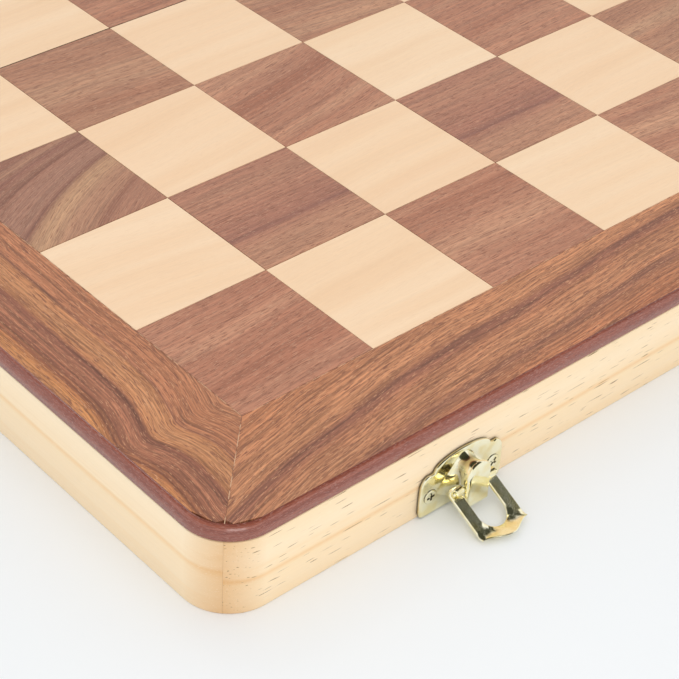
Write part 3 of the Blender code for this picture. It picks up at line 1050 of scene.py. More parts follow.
@dataclass
class InlaidTop:
    """The inlaid sheet of one half: 32 squares, three border strips and their joints."""

    sizes: BoardSizes
    half: Half
    finishes: Finishes
    joint: Flat = (0.05, 0.13)
    sunk: float = 0.03
    strip_gap: float = 0.1
    mitre_gap: float = 0.12
    cells: int = 8
    figured_cells: int = 20
    strip_rows: int = 14
    strip_columns: int = 96
    flitch: float = 900.0
    log: float = 400.0

    def __post_init__(self) -> None:
        """Seed the half's own figure."""
        self.dice = random.Random(41 + self.half.value)

    @property
    def low(self) -> float:
        """Height of the sheet's underside."""
        return self.sizes.thickness - self.sizes.veneer

    def lay(
        self,
        draft: Draft,
        rows: int,
        columns: int,
        spot: Callable[[float, float], tuple[Flat, Point]],
    ) -> None:
        """Lay one piece of veneer as a grid of cells.

        Args:
            draft: the mesh that takes it.
            rows: cells from its first side to its second.
            columns: cells from its start to its end.
            spot: gives (x, distance out from the fold) and the grain at a share of both.
        """
        plan, grains = [], []
        for i in range(rows + 1):
            spots = [spot(i / rows, j / columns) for j in range(columns + 1)]
            plan.append([self.sizes.place(self.half, x, out) for (x, out), _ in spots])
            grains.append([grain for _, grain in spots])
        draft.slab(plan, grains, self.low, self.sizes.thickness)

    def square_slab(self, draft: Draft, column: int, row: int, lean: float, sweep: float) -> None:
        """Add one square to a draft.

        Args:
            draft: the mesh that takes it.
            column: from the left, 0 to 7.
            row: from the fold, 0 to 3.
            lean: slope of its figure against X.
            sweep: how much the figure curves over the square.
        """
        size = self.sizes.square
        x0 = -self.sizes.field_half + column * size
        near_fold = self.sizes.fold_gap if row == 0 else self.dice.uniform(*self.joint)
        trims = [self.dice.uniform(*self.joint) for _ in range(3)]
        left, right = x0 + trims[0], x0 + size - trims[1]
        start, end = row * size + near_fold, (row + 1) * size - trims[2]
        shift = [self.dice.uniform(0, self.flitch) for _ in range(3)]

        def spot(down: float, across: float) -> tuple[Flat, Point]:
            """Return a place in the square and its grain, at shares of its sides.

            Args:
                down: share of the way out from the fold.
                across: share of the way from the left.

            Returns:
                (x, distance out) and the grain.
            """
            x, out = left + (right - left) * across, start + (end - start) * down
            u = x - x0
            v = self.half.value * out + lean * u + sweep * (u / size) ** 2
            return (x, out), (u + shift[0], v + shift[1], shift[2])

        self.lay(draft, self.cells, self.cells, spot)

    def squares(self) -> list[Object]:
        """Cut and lay the squares of both woods."""
        walnut = Draft(f"{self.half.word}_walnut_squares")
        maple = Draft(f"{self.half.word}_maple_squares")
        found = []
        for row in range(self.sizes.rows):
            rank = self.sizes.rows + (row if self.half is Half.FAR else -1 - row)
            for column in range(self.sizes.columns):
                figure = FIGURED_SQUARES.get((column, rank))
                if figure:
                    found.append(self.figured_square(figure, column, row))
                    continue
                draft = walnut if (rank + column) % 2 == 0 else maple
                draft.current_tone = self.dice.uniform(0.1, 0.9)
                lean = self.dice.uniform(-0.08, 0.08)
                if (column, rank) in CHOSEN_FIGURE:
                    draft.current_tone, lean = CHOSEN_FIGURE[(column, rank)]
                self.square_slab(draft, column, row, lean, self.dice.uniform(-2, 2))
        return [*found, walnut.build(self.finishes.walnut), maple.build(self.finishes.maple)]

    def figured_square(self, figure: Figure, column: int, row: int) -> Object:
        """Lay one of the squares that stand out by their figure.

        Args:
            figure: what runs over it.
            column: from the left, 0 to 7.
            row: from the fold, 0 to 3.

        Returns:
            The square.
        """
        size, trim = self.sizes.square, self.joint[1]

        def spot(down: float, along: float) -> tuple[Flat, Point]:
            """Return a place in the square and its grain, across from the figure's main line.

            Args:
                down: share of the way out from the fold.
                along: share of the way from the left.

            Returns:
                (x, distance out) and the grain.
            """
            u = trim + (size - 2 * trim) * along
            out = row * size + trim + (size - 2 * trim) * down
            across = (row + 1) * size - out
            if figure is Figure.SWEPT:
                curve = 6.5 + 0.72 * u - 0.0052 * u**2
                across = (across - curve) * (1 + 0.02 * u)
            grain = (u * 1.2 + 90 * column, across, 12.0)
            return (u + column * size - self.sizes.field_half, out), grain

        draft = Draft(f"{self.half.word}_{figure.value}_square")
        self.lay(draft, self.figured_cells, self.figured_cells, spot)
        return draft.build(getattr(self.finishes, figure.value))

    def corner_reach(self, out: float) -> float:
        """Return how far a strip runs past the field at a distance out from it.

        Args:
            out: the distance from the field.

        Returns:
            The reach, along the mitre and then round the corner of the sheet.
        """
        inset = self.sizes.border - self.sizes.veneer_border
        radius = self.sizes.corner - inset
        centre = self.sizes.veneer_border - radius
        if out <= centre + radius / math.sqrt(2):
            return out
        return centre + math.sqrt(max(0.0, radius**2 - (out - centre) ** 2))

    def strip_row(self, down: float) -> Flat:
        """Return a strip row's distance from the field and its reach to the mitre.

        Args:
            down: share of the strip's width, from the field out.

        Returns:
            The distance and the reach.
        """
        v = self.strip_gap + (self.sizes.veneer_border - self.strip_gap) * down
        return v, self.sizes.field_half + self.corner_reach(v) - self.mitre_gap

    def side_strip(self, hand: int) -> Object:
        """Lay a strip beside the squares, mitred at its outer end.

        Args:
            hand: -1 for the left strip and 1 for the right.

        Returns:
            The strip.
        """
        edge = self.sizes.field_half
        shift = self.dice.uniform(0, self.log)

        def spot(down: float, along: float) -> tuple[Flat, Point]:
            """Return a place in the strip and its grain.

            Args:
                down: share of the strip's width, from the field out.
                along: share of the way to the fold.

            Returns:
                (x, distance out) and the grain.
            """
            v, start = self.strip_row(down)
            out = start + (self.sizes.fold_gap - start) * along
            swing = interpolated(SIDE_SWING, edge - out)
            return (hand * (edge + v), out), (shift - out, v - swing, shift)

        draft = Draft(f"{self.half.word}_{'left' if hand < 0 else 'right'}_border")
        self.lay(draft, self.strip_rows, self.strip_columns, spot)
        return draft.build(self.finishes.side_border)

    def end_strip(self) -> Object:
        """Lay the strip along the outer edge, mitred at both ends."""
        edge = self.sizes.field_half
        shift = self.dice.uniform(0, self.log)

        def spot(down: float, along: float) -> tuple[Flat, Point]:
            """Return a place in the strip and its grain, across from its one strong line.

            Args:
                down: share of the strip's width, from the field out.
                along: share of the way from the left.

            Returns:
                (x, distance out) and the grain.
            """
            v, reach = self.strip_row(down)
            x = reach * (2 * along - 1)
            run = x + edge
            line_at = 12.1 - 0.055 * run + 4.6 * math.exp((15 - run) / 40)
            return (x, edge + v), (x + shift, v - line_at, shift)

        draft = Draft(f"{self.half.word}_end_border")
        self.lay(draft, self.strip_rows, 2 * self.strip_columns, spot)
        return draft.build(self.finishes.end_border)

    def joint_lines(self) -> Object:
        """Run filler along both mitres and along the inner edge of the border."""
        draft = Draft(f"{self.half.word}_joint_lines")
        edge = self.sizes.field_half
        fold = self.sizes.fold_gap
        inset = self.sizes.border - self.sizes.veneer_border
        knee = self.sizes.veneer_border - (self.sizes.corner - inset) * (1 - 1 / math.sqrt(2))
        width, inner, outer = 0.12, 0.05, 0.1
        top = self.sizes.thickness - self.sunk
        bars = []
        for hand in (-1, 1):
            x0, x1, end = hand * edge, hand * (edge + knee), edge + knee
            side = hand * width
            mitre = [(x0 - side, edge), (x0, edge - width), (x1, end - width), (x1 - side, end)]
            bars.append(mitre)
            near, far = x0 - hand * inner, x0 + hand * outer
            bars.append([(near, fold), (far, fold), (far, edge), (near, edge)])
        low, high = edge - inner, edge + outer
        bars.append([(-edge, low), (edge, low), (edge, high), (-edge, high)])
        for bar in bars:
            plan = [self.sizes.place(self.half, x, out) for x, out in bar]
            draft.loft([[(x, y, height) for x, y in plan] for height in (self.low, top)])
        return draft.build(self.finishes.glue)

    def build(self) -> None:
        """Lay the whole sheet and seat it on the half."""
        node = f"{self.half.word}_veneer"
        pieces = self.squares()
        pieces += [self.side_strip(-1), self.side_strip(1), self.end_strip(), self.joint_lines()]
        for piece in pieces:
            settle(piece, self.half.body, "veneer", (node,))


@dataclass
class CoreBoard:
    """The core board of one half, with its moulded and stained edge."""

    sizes: BoardSizes
    half: Half
    finishes: Finishes
    edge_steps: int = 12
    flat_share: float = 0.35

    def build(self) -> None:
        """Loft the moulded edge and seat the board."""
        sizes = self.sizes
        lip = sizes.border - sizes.veneer_border
        foot = sizes.panel_foot
        levels = [(0.25, foot), (0.0, foot + 0.2)]
        for step in range(self.edge_steps + 1):
            turn = math.radians(90 * step / self.edge_steps)
            rise = self.flat_share + (1 - self.flat_share) * math.sin(turn)
            levels.append((lip * (1 - math.cos(turn)), foot + sizes.edge_band * rise))
        levels.append((lip + 0.02, sizes.thickness - sizes.veneer - 0.05))
        rings, grains = [], []
        for inset, height in levels:
            plan = sizes.outline(self.half, inset)
            rings.append([(x, y, height) for x, y in plan])
            run, marks = 0.0, []
            for spot, (x, y) in enumerate(plan):
                if spot:
                    run += math.dist((x, y), plan[spot - 1])
                marks.append((run, height * 2 + inset, 5.0 + self.half.value))
            grains.append(marks)
        upper = sizes.thickness - 0.05

        # painted shade: tone 1 on the foot ring along the rails, 0.3 on the top rim along the
        # veneer
        def painted_shade(place: Point) -> float:
            """Darken the foot of the edge fully and its upper face a little, as painted shade
            along the joints with the rails and the veneer.
            """
            return 1.0 if place[2] < foot + 0.1 else 0.3 * float(place[2] > upper)

        draft = Draft(f"{self.half.word}_core_board", tone_of=painted_shade)
        draft.loft(rings, True, grains)
        piece = draft.build(self.finishes.stain, 50)
        settle(piece, self.half.body, "stained_edge", (f"{self.half.word}_panel",))


@dataclass
class RailFrame:
    """The planed pine rails of one half, mitred in the middle of both rounded corners."""

    sizes: BoardSizes
    half: Half
    finishes: Finishes
    foot_ease: float = 0.45
    top_ease: float = 0.15
    seam: float = 0.06
    top_clearance: float = 0.2

    @property
    def levels(self) -> list[tuple[float, float]]:
        """Inset and height of each ring of a rail, eased at the foot and the top."""
        top = self.sizes.panel_foot - self.top_clearance
        ease = self.foot_ease
        return [
            (ease, 0.0),
            (ease * 0.3, ease * 0.3),
            (0.0, ease),
            (0.0, top - self.top_ease),
            (self.top_ease, top),
        ]

    def corner(self, hand: int, inset: float, start: float, end: float) -> list[Flat]:
        """Return part of a rounded corner.

        Args:
            hand: -1 for the left corner and 1 for the right.
            inset: how far inside the true edge.
            start: first angle, in degrees from the side.
            end: last angle.

        Returns:
            Points in plan as x and distance out from the fold.
        """
        middle = self.sizes.half_size - self.sizes.corner
        points = arc((middle, middle), self.sizes.corner - inset, start, end, 14)
        return [(hand * x, out) for x, out in points]

    def raise_rail(
        self,
        name: str,
        plan_at: Callable[[float], list[Flat]],
        grain_of: Callable[[Point], Point],
        finish: Material,
    ) -> Object:
        """Loft a rail through its levels.

        Args:
            name: the piece's name.
            plan_at: the plan at an inset of the outer face.
            grain_of: grain coordinates of a place.
            finish: the pine it is cut from.

        Returns:
            The rail.
        """
        draft = Draft(name, grain_of=grain_of, tone_of=self.end_grain)
        rings = []
        for inset, height in self.levels:
            plan = [self.sizes.place(self.half, x, out) for x, out in plan_at(inset)]
            rings.append([(x, y, height) for x, y in plan])
        draft.loft(rings)
        return draft.build(finish, 50)

    def end_grain(self, place: Point) -> float:
        """Return how far a place lies round the rounded corner, from 0 to 1 at the mitre.

        Args:
            place: a place on a rail.

        Returns:
            The share of the way.
        """
        middle = self.sizes.half_size - self.sizes.corner
        out = abs(place[1] - self.sizes.fold_y)
        past = min(abs(place[0]) - middle, out - middle)
        nearer = max(abs(place[0]), out) - middle
        if past < 0 or nearer <= 0:
            return 0.0
        return min(1.0, past / (self.sizes.corner / math.sqrt(2)))

    def build(self) -> None:
        """Cut and seat the outer and the two side rails."""
        sizes = self.sizes
        word = self.half.word
        inner = sizes.half_size - sizes.rail

        def outer_plan(inset: float) -> list[Flat]:
            """Return the outer rail's plan at an inset.

            Args:
                inset: how far inside the true edge.

            Returns:
                The closed plan as (x, distance out).
            """
            right = self.corner(1, inset, 45 + self.seam, 90)
            left = list(reversed(self.corner(-1, inset, 45 + self.seam, 90)))
            back = [(-inner + sizes.gap, inner), (inner - sizes.gap, inner)]
            return right + left + back

        offset = 40.0 + 13 * self.half.value
        piece = self.raise_rail(
            f"{word}_outer_rail_planed",
            outer_plan,
            lambda p: (p[0] + 300 + offset, p[2], p[1] * 0.8),
            self.finishes.pine,
        )
        settle(piece, self.half.body, "pine", (f"{word}_outer_rail",))
        for hand, side in ((-1, "left"), (1, "right")):

            def side_plan(inset: float, hand: int = hand) -> list[Flat]:
                """Return a side rail's plan at an inset.

                Args:
                    inset: how far inside the true edge.
                    hand: -1 for the left rail and 1 for the right.

                Returns:
                    The closed plan as (x, distance out).
                """
                edge = sizes.half_size - inset
                bend = self.corner(hand, inset, 0, 45 - self.seam)
                start = [(hand * edge, sizes.fold_gap)]
                back = [(hand * inner, inner - sizes.gap), (hand * inner, sizes.fold_gap)]
                return start + bend + back

            shift = offset + 31 * hand
            piece = self.raise_rail(
                f"{word}_{side}_rail_planed",
                side_plan,
                lambda p, shift=shift: (p[1] + shift, p[2], p[0] * 0.5 + shift),
                self.finishes.plain_pine,
            )
            settle(piece, self.half.body, "pine", (f"{word}_{side}_rail",))


class Man(Enum):
    """The kinds of chessmen; the value is the word in their node names."""

    KING = "king"
    QUEEN = "queen"
    BISHOP = "bishop"
    KNIGHT = "knight"
    ROOK = "rook"
    PAWN = "pawn"


# Radius of the base and height of each kind.
MEN_SIZES = {
    Man.KING: (10.0, 64.0), Man.QUEEN: (9.7, 58.0), Man.BISHOP: (9.2, 50.0),
    Man.KNIGHT: (9.2, 44.0), Man.ROOK: (9.0, 38.0), Man.PAWN: (8.2, 34.0),
}
OFFICERS = (Man.ROOK, Man.KNIGHT, Man.BISHOP)
BACK_RANK = (*OFFICERS, Man.QUEEN, Man.KING, *reversed(OFFICERS))


@dataclass
class FoamTray:
    """A die-cut foam insert faced with felt, with a pocket right through for each man."""

    sizes: BoardSizes
    half: Half
    finishes: Finishes
    foot: float = 4.4
    ease: float = 0.9
    side_room: float = 0.8
    end_room: float = 1.0
    pocket_corner: float = 1.5
    columns: int = 8
    pocket_rows: int = 2

    @property
    def top(self) -> float:
        """Height of the insert's upper face, under the core board."""
        return self.sizes.panel_foot - self.sizes.gap

    def pockets(self) -> list[tuple[float, float, Man]]:
        """Return x, distance out from the fold and kind of man of every pocket."""
        width = 2 * (self.sizes.half_size - self.sizes.rail)
        depth = self.sizes.half_size - 2 * self.sizes.rail
        found = []
        for row in range(self.pocket_rows):
            out = self.sizes.half_size - self.sizes.rail - depth * (row + 0.5) / self.pocket_rows
            for column in range(self.columns):
                x = width * ((column + 0.5) / self.columns - 0.5)
                found.append((x, out, BACK_RANK[column] if row == 0 else Man.PAWN))
        return found

    def build(self) -> None:
        """Cut the insert, ease the lips of its pockets and seat it."""
        sizes = self.sizes
        edge = sizes.half_size - sizes.rail - sizes.gap
        near = sizes.rail + sizes.gap
        loops = [[(-edge, near), (edge, near), (edge, edge), (-edge, edge)]]
        for x, out, kind in self.pockets():
            radius, height = MEN_SIZES[kind]
            half_w, half_l = radius + self.side_room, height / 2 + self.end_room
            corner = self.pocket_corner
            loop: list[Flat] = []
            for sx, sy, start in ((1, 1, 0), (-1, 1, 90), (-1, -1, 180), (1, -1, 270)):
                centre = (x + sx * (half_w - corner), out + sy * (half_l - corner))
                loop += arc(centre, corner, start, start + 90, 5)
            loops.append(loop)
        shape = bmesh.new()
        for height in (self.foot, self.top):
            edges = []
            for loop in loops:
                plan = [sizes.place(self.half, x, out) for x, out in loop]
                ring = [shape.verts.new((x * MM, y * MM, height * MM)) for x, y in plan]
                edges += [shape.edges.new(pair) for pair in zip(ring, ring[1:] + ring[:1])]
            bmesh.ops.triangle_fill(shape, use_beauty=True, edges=edges)
        shape.verts.ensure_lookup_table()
        count = len(shape.verts) // 2
        start = 0
        for loop in loops:
            size = len(loop)
            for spot in range(size):
                a, b = start + spot, start + (spot + 1) % size
                corners = (a, b, b + count, a + count)
                shape.faces.new([shape.verts[i] for i in corners])
            start += size
        bmesh.ops.recalc_face_normals(shape, faces=shape.faces)
        lips = [
            side
            for side in shape.edges
            if len(side.link_faces) == 2
            and side.verts[0].co.z == side.verts[1].co.z
            and side.verts[0].co.z < self.top * MM - 1e-4
            and abs(side.calc_face_angle(0.0)) > 1.0
        ]
        bmesh.ops.bevel(
            shape, geom=lips, offset=self.ease * MM, segments=3, profile=0.5, affect="EDGES"
        )
        mesh = bpy.data.meshes.new(f"{self.half.word}_felted_foam")
        piece = publish(mesh, shape, self.finishes.felt, 40)
        settle(piece, self.half.body, "foam", (f"{self.half.word}_foam_insert",))


# ------------------------------------------------------------------------ the brass


@dataclass
class Screw:
    """A countersunk cross-slot screw head, seen from outside."""

    radius: float = 1.95
    proud: float = 0.3
    arm: float = 1.15
    slot: float = 0.3
    depth: float = 0.55
    sides: int = 48

    def rings(self) -> list[list[Flat | Point]]:
        """Return the head's rings as (across, up, out) from the seat."""
        turns = [2 * math.pi * step / self.sides for step in range(self.sides)]

        def cross(turn: float) -> float:
            """Return how far the slots reach in one direction."""
            c, s = abs(math.cos(turn)) + 1e-6, abs(math.sin(turn)) + 1e-6
            return max(min(self.arm / c, self.slot / s), min(self.arm / s, self.slot / c))

        levels = [
            (lambda t: self.radius, -0.2),
            (lambda t: self.radius, self.proud * 0.4),
            (lambda t: self.radius * 0.93, self.proud * 0.8),
            (lambda t: self.radius * 0.75, self.proud),
            (lambda t: cross(t) * 1.06, self.proud * 1.05),
            (lambda t: cross(t), self.proud * 0.8),
            (lambda t: cross(t) * 0.7, self.proud - self.depth),
        ]
        return [
            [(reach(t) * math.cos(t), reach(t) * math.sin(t), out) for t in turns]
            for reach, out in levels
        ]

    def add_to(self, draft: Draft, at: Point, up: Point, out: Point, turn: float = 0.0) -> None:
        """Add the head to a draft.

        Args:
            draft: the mesh that takes it.
            at: the middle of its seat.
            up: unit vector up the seat, which runs along X otherwise.
            out: unit vector off the seat.
            turn: how far the slots are turned, in radians.
        """
        cosine, sine = math.cos(turn), math.sin(turn)
        rings = []
        for ring in self.rings():
            spots = []
            for across, rise, away in ring:
                u, v = across * cosine - rise * sine, across * sine + rise * cosine
                y, z = at[1] + v * up[1] + away * out[1], at[2] + v * up[2] + away * out[2]
                spots.append((at[0] + u, y, z))
            rings.append(spots)
        # painted shade: the seat ring and the cross slots get a high tone, which the brass darkens
        draft.loft(rings, tones=(1.0, 0.8, 0.0, 0.0, 0.1, 0.9, 1.0))


@dataclass
class Clasp:
    """A swing clasp: a drawn plate with its hood, two screws, a pin and a loop."""

    word: str
    x: float
    face: float
    brass: Material
    strip: Material
    back: float = 0.3
    thick: float = 0.9
    width: float = 26.4
    top: float = 15.7
    ear: float = 12.35
    foot: float = 0.4
    neck: Flat = (2.75, 13.9)
    hood_foot: float = 2.4
    # Half width, lift of the foot, top and distance out of the hood, neck to flap.
    hood: tuple[tuple[float, float, float, float], ...] = (
        (2.75, 0.0, 13.9, 3.8), (2.8, 0.0, 14.1, 5.2), (2.72, 0.0, 14.0, 5.45),
        (2.5, 0.0, 13.75, 5.55), (2.5, 0.0, 13.75, 5.7), (3.45, 0.0, 14.55, 5.78),
        (3.65, 0.0, 14.8, 5.95), (3.7, 0.0, 14.85, 6.35), (3.6, 0.1, 14.75, 6.68),
        (3.3, 0.25, 14.35, 6.92), (2.85, 0.6, 13.8, 7.0), (2.0, 1.6, 12.3, 7.0),
    )
    # How dark the skin is painted at its rings, as painted shade: behind, in the crease, in the
    # neck and in the undercut.
    shade_rings: tuple[tuple[int, float], ...] = (
        (0, 1.0), (1, 0.25), (5, 0.15), (8, 0.3), (9, 0.6), (10, 0.4), (14, 1.0),
    )
    pin_out: float = 5.3
    pin_z: float = 7.6
    loop_width: float = 14.3
    slot: float = 8.1
    slot_end: float = 11.5
    crease: float = 11.7
    side: float = 12.7
    length: float = 14.9
    drop: float = 1.3
    loop_thick: float = 0.9
    slope: float = math.radians(26.5)
    lip: float = math.tan(math.radians(36))
    centre: Flat = (0.0, 7.4)
    # The ears: steps of the roll, degrees each, and what each takes off strip and radius.
    curl_steps: int = 18
    curl_turn: float = 15.0
    curl_thin: float = 0.028
    curl_taper: float = 0.02
    curl_tighten: float = 0.028
    screw_side: float = 10.1
    screw_z: float = 6.1

    def plate_outline(self, inset: float) -> list[Flat]:
        """Return the plate's front view: straight foot, eared shoulders and arched top.

        Args:
            inset: how far inside the true edge.

        Returns:
            The closed outline as (x, height).
        """
        half, foot, ear = self.width / 2 - inset, self.foot + inset, self.ear - inset * 0.6
        knots = [
            (half - 0.4, foot + 0.35),
            (half, foot + 2.2),
            (half - 0.05, ear - 3.6),
            (half - 0.6, ear - 1.3),
            (half - 2.0, ear),
            (half - 3.1, ear - 0.05),
            (half - 4.1, ear + 0.1),
        ]
        right = [(half - 0.9, foot)] + smoothed(knots, 5)
        cusp = ear + 0.25
        rise = self.top - inset - cusp
        span = half - 4.3
        arch = [(span * c, cusp + rise * s) for c, s in arc((0, 0), 1, 4, 176, 36)]
        left = [(-x, z) for x, z in reversed(right)]
        return right + arch + left

    def flare(self, grow: float) -> list[Flat]:
        """Return the bell-shaped foot of the hood, from its crease at 1 to the neck at 0.

        Args:
            grow: where between the neck and the crease.

        Returns:
            The closed outline as (x, height).
        """
        bell = [
            (0.0, 14.6), (1.2, 14.2), (2.9, 12.6), (4.4, 10.9), (5.8, 9.3), (7.3, 7.8),
            (8.3, 6.4), (6.8, 4.8), (4.6, 3.5), (3.6, 2.4), (0.0, 2.0),
        ]
        neck = self.tombstone(self.neck[0], self.hood_foot, self.neck[1])
        right = smoothed(bell, 5)
        outline = right + [(-x, z) for x, z in reversed(right)]
        found = []
        for step in range(120):
            turn = 2 * math.pi * step / 120
            far = ray_length(outline, self.centre, turn)
            close = ray_length(neck, self.centre, turn)
            found.append(self.ray_end(turn, close + (far - close) * grow))
        return found

    def ray_end(self, turn: float, reach: float) -> Flat:
        """Return the point at a reach from the hood's centre."""
        return self.centre[0] + reach * math.cos(turn), self.centre[1] + reach * math.sin(turn)

    @staticmethod
    def tombstone(half: float, foot: float, top: float) -> list[Flat]:
        """Return an upright outline with a half-round head."""
        return [(half, foot), *arc((0.0, top - half), half, 0, 180, 24), (-half, foot)]

    def build_plate(self) -> None:
        """Loft the plate, its flare, its barrel roof and its front flap as one skin."""
        surface = self.back + self.thick
        outlines = [
            (self.plate_outline(0.0), self.back),
            (self.plate_outline(0.0), surface - 0.35),
            (self.plate_outline(0.1), surface - 0.12),
            (self.plate_outline(0.35), surface),
            (self.plate_outline(0.8), surface),
            (self.flare(1.04), surface),
            (self.flare(0.97), surface + 0.06),
            (self.flare(0.6), surface + 0.55),
            (self.flare(0.28), surface + 1.15),
            (self.flare(0.06), surface + 2.0),
        ]
        for half, lift, top, out in self.hood:
            outlines.append((self.tombstone(half, self.hood_foot + lift, top), out))
        outline = outlines[0][0]
        turns = {round(2 * math.pi * step / 132, 5) for step in range(132)}
        for x, z in outline:
            turn = math.atan2(z - self.centre[1], x - self.centre[0]) % (2 * math.pi)
            turns.add(round(turn, 5))
        ordered = sorted(turns)
        rings = []
        for plan, out in outlines:
            ends = [self.ray_end(turn, ray_length(plan, self.centre, turn)) for turn in ordered]
            rings.append([(self.x + x, self.face - out, z) for x, z in ends])
        tones = [0.0] * len(rings)
        # painted shade: these rings are darkened by the brass finish
        for level, tone in self.shade_rings:
            tones[level] = tone
        draft = Draft(f"{self.word}_drawn_plate")
        draft.loft(rings, tones=tones)
        for hand in (-1, 1):
            at = (self.x + hand * self.screw_side, self.face - surface, self.screw_z)
            Screw().add_to(draft, at, UP, (0, -1, 0), 0.5 + 0.4 * hand)
        piece = draft.build(self.brass, 38, merge=False)
        settle(piece, "near_half", "brass", (f"{self.word}_clasp_plate",))

    def place_on_loop(self, across: float, away: float, up: float) -> Point:
        """Return the place of a point given in the loop's own plane.

        Args:
            across: along the pin.
            away: out from the pin.
            up: off the plane.

        Returns:
            The place in the frame.
        """
        cosine, sine = math.cos(self.slope), math.sin(self.slope)
        y = self.face - self.pin_out - away * cosine - up * sine
        return (self.x + across, y, self.pin_z - away * sine + up * cosine)

    def loop_edges(self) -> tuple[list[Flat], list[Flat]]:
        """Return the inner and outer edge of the loop: (across, away from the pin)."""
        inner_half, outer_half = self.slot / 2, self.loop_width / 2
        bend = self.slot_end - inner_half
        straight, steps, side_steps = 5, 48, 7
        legs = [bend * i / straight for i in range(straight)]
        inner = [(inner_half, away) for away in legs]
        outer = [(outer_half, away) for away in legs]
        for i in range(steps + 1):
            turn = math.pi * i / steps
            inner.append((inner_half * math.cos(turn), bend + inner_half * math.sin(turn)))
            from_side = min(i, steps - i)
            if from_side < side_steps:
                hand = 1 if i < side_steps else -1
                reach = bend + (self.side - bend) * from_side / side_steps
                outer.append((hand * outer_half, reach))
                continue
            share = 1 - 2 * (i - side_steps) / (steps - 2 * side_steps)
            swell = 0.5 + 0.5 * math.cos(math.pi * share)
            outer.append((outer_half * share, self.side + (self.length - self.side) * swell))
        inner += [(-inner_half, away) for away in reversed(legs)]
        outer += [(-outer_half, away) for away in reversed(legs)]
        return inner, outer

    def build_loop(self) -> None:
        """Bend the loop: two rolled ears on the pin, two legs and the flared lip."""
        section = [
            (0.0, -0.3), (0.06, -0.5), (0.35, -0.5), (0.65, -0.5), (0.94, -0.5), (1.0, -0.3),
            (1.0, 0.3), (0.94, 0.5), (0.65, 0.5), (0.35, 0.5), (0.06, 0.5), (0.0, 0.3),
        ]
        inner, outer = self.loop_edges()
        rings = []
        for a, b in zip(inner, outer):
            ring = []
            for share, level in section:
                across = a[0] + (b[0] - a[0]) * share
                away = a[1] + (b[1] - a[1]) * share
                up = self.lip * max(0.0, away - self.crease) - self.drop
                ring.append(self.place_on_loop(across, away, up + level * self.loop_thick))
            rings.append(ring)
        curls: dict[int, list[list[Point]]] = {-1: [], 1: []}
        for hand, curl in curls.items():
            for step in range(1, self.curl_steps + 1):
                turn = math.radians(self.curl_turn * step)
                thick = self.loop_thick * (1 - self.curl_thin * step)
                wide = (self.loop_width - self.slot) / 2 * (1 - self.curl_taper * step)
                ring = []
                for share, level in section:
                    across = hand * (self.slot / 2 + wide * share)
                    radius = self.drop - self.curl_tighten * step - level * thick
                    away, up = -radius * math.sin(turn), -radius * math.cos(turn)
                    ring.append(self.place_on_loop(across, away, up))
                curl.append(ring)
        draft = Draft(f"{self.word}_bent_loop", current_tone=0.0)
        draft.loft([*reversed(curls[1]), *rings, *curls[-1]])
        piece = draft.build(self.strip, 38)
        settle(piece, f"{self.word}_loop", "brass", (f"{self.word}_clasp_loop",))

    def build(self, nodes: dict[str, Object]) -> None:
        """Build the clasp and give its pin the same finish.

        Args:
            nodes: the frame's objects by name.
        """
        self.build_plate()
        self.build_loop()
        nodes[f"{self.word}_clasp_pin"].data.materials[0] = self.brass


@dataclass
class Catch:
    """The plate on the far edge with a turned-up hook that the loop snaps over."""

    word: str
    x: float
    face: float
    brass: Material
    back: float = 0.3
    thick: float = 0.9
    width: float = 20.0
    top: float = 11.5
    foot: float = 0.4
    round: float = 3.0
    hook_half: float = 2.0
    hook_z: float = 0.7
    hook_thick: float = 1.0
    hook_out: float = 5.6
    hook_rise: float = 2.7
    screw_side: float = 6.4
    screw_z: float = 6.8

    def outline(self, inset: float) -> list[Flat]:
        """Return the plate's front view at an inset.

        Args:
            inset: how far inside the true edge.

        Returns:
            The closed outline as (x, height).
        """
        half, low, high = self.width / 2 - inset, self.foot + inset, self.top - inset
        corner = self.round - inset
        small = 0.6
        plan = arc((half - small, low + small), small, -90, 0, 6)
        plan += arc((half - corner, high - corner), corner, 0, 90, 12)
        plan += arc((-half + corner, high - corner), corner, 90, 180, 12)
        return plan + arc((-half + small, low + small), small, 180, 270, 6)

    def build(self) -> None:
        """Build the plate, its bent hook and two screws."""
        surface = self.back + self.thick
        draft = Draft(f"{self.word}_formed_catch", current_tone=0.0)
        rings = []
        for inset, out in (
            (0.0, self.back), (0.0, surface - 0.3), (0.12, surface - 0.08), (0.35, surface)
        ):
            rings.append([(self.x + x, self.face + out, z) for x, z in self.outline(inset)])
        draft.loft(rings)
        middle = self.hook_z + self.hook_thick / 2
        path = [(surface - 0.1, middle, 0.0), (3.6, middle, 0.0), (4.2, middle, 0.0)]
        centre = (self.hook_out - 0.375 - 0.6, middle + 0.6)
        for (out, z), turn in zip(arc(centre, 0.6, -90, 0, 6), range(0, 91, 15)):
            path.append((out, z, math.radians(turn)))
        path.append((self.hook_out - 0.375, self.hook_rise - 0.05, math.radians(90)))
        rings = []
        for spot, (out, z, turn) in enumerate(path):
            thick = self.hook_thick if spot < 3 else self.hook_thick * 0.75
            half = self.hook_half - (0.25 if spot == len(path) - 1 else 0.0)
            ring = []
            for across, level in (
                (-1, -0.3), (-0.92, -0.5), (0.92, -0.5), (1, -0.3),
                (1, 0.3), (0.92, 0.5), (-0.92, 0.5), (-1, 0.3),
            ):
                out_shift = -math.sin(turn) * level * thick
                z_shift = math.cos(turn) * level * thick
                ring.append((self.x + across * half, self.face + out + out_shift, z + z_shift))
            rings.append(ring)
        draft.loft(rings)
        for hand in (-1, 1):
            at = (self.x + hand * self.screw_side, self.face + surface, self.screw_z)
            Screw(radius=1.9).add_to(draft, at, UP, (0, 1, 0))
        piece = draft.build(self.brass, 38, merge=False)
        settle(piece, "far_half", "brass", (f"{self.word}_catch_plate",))


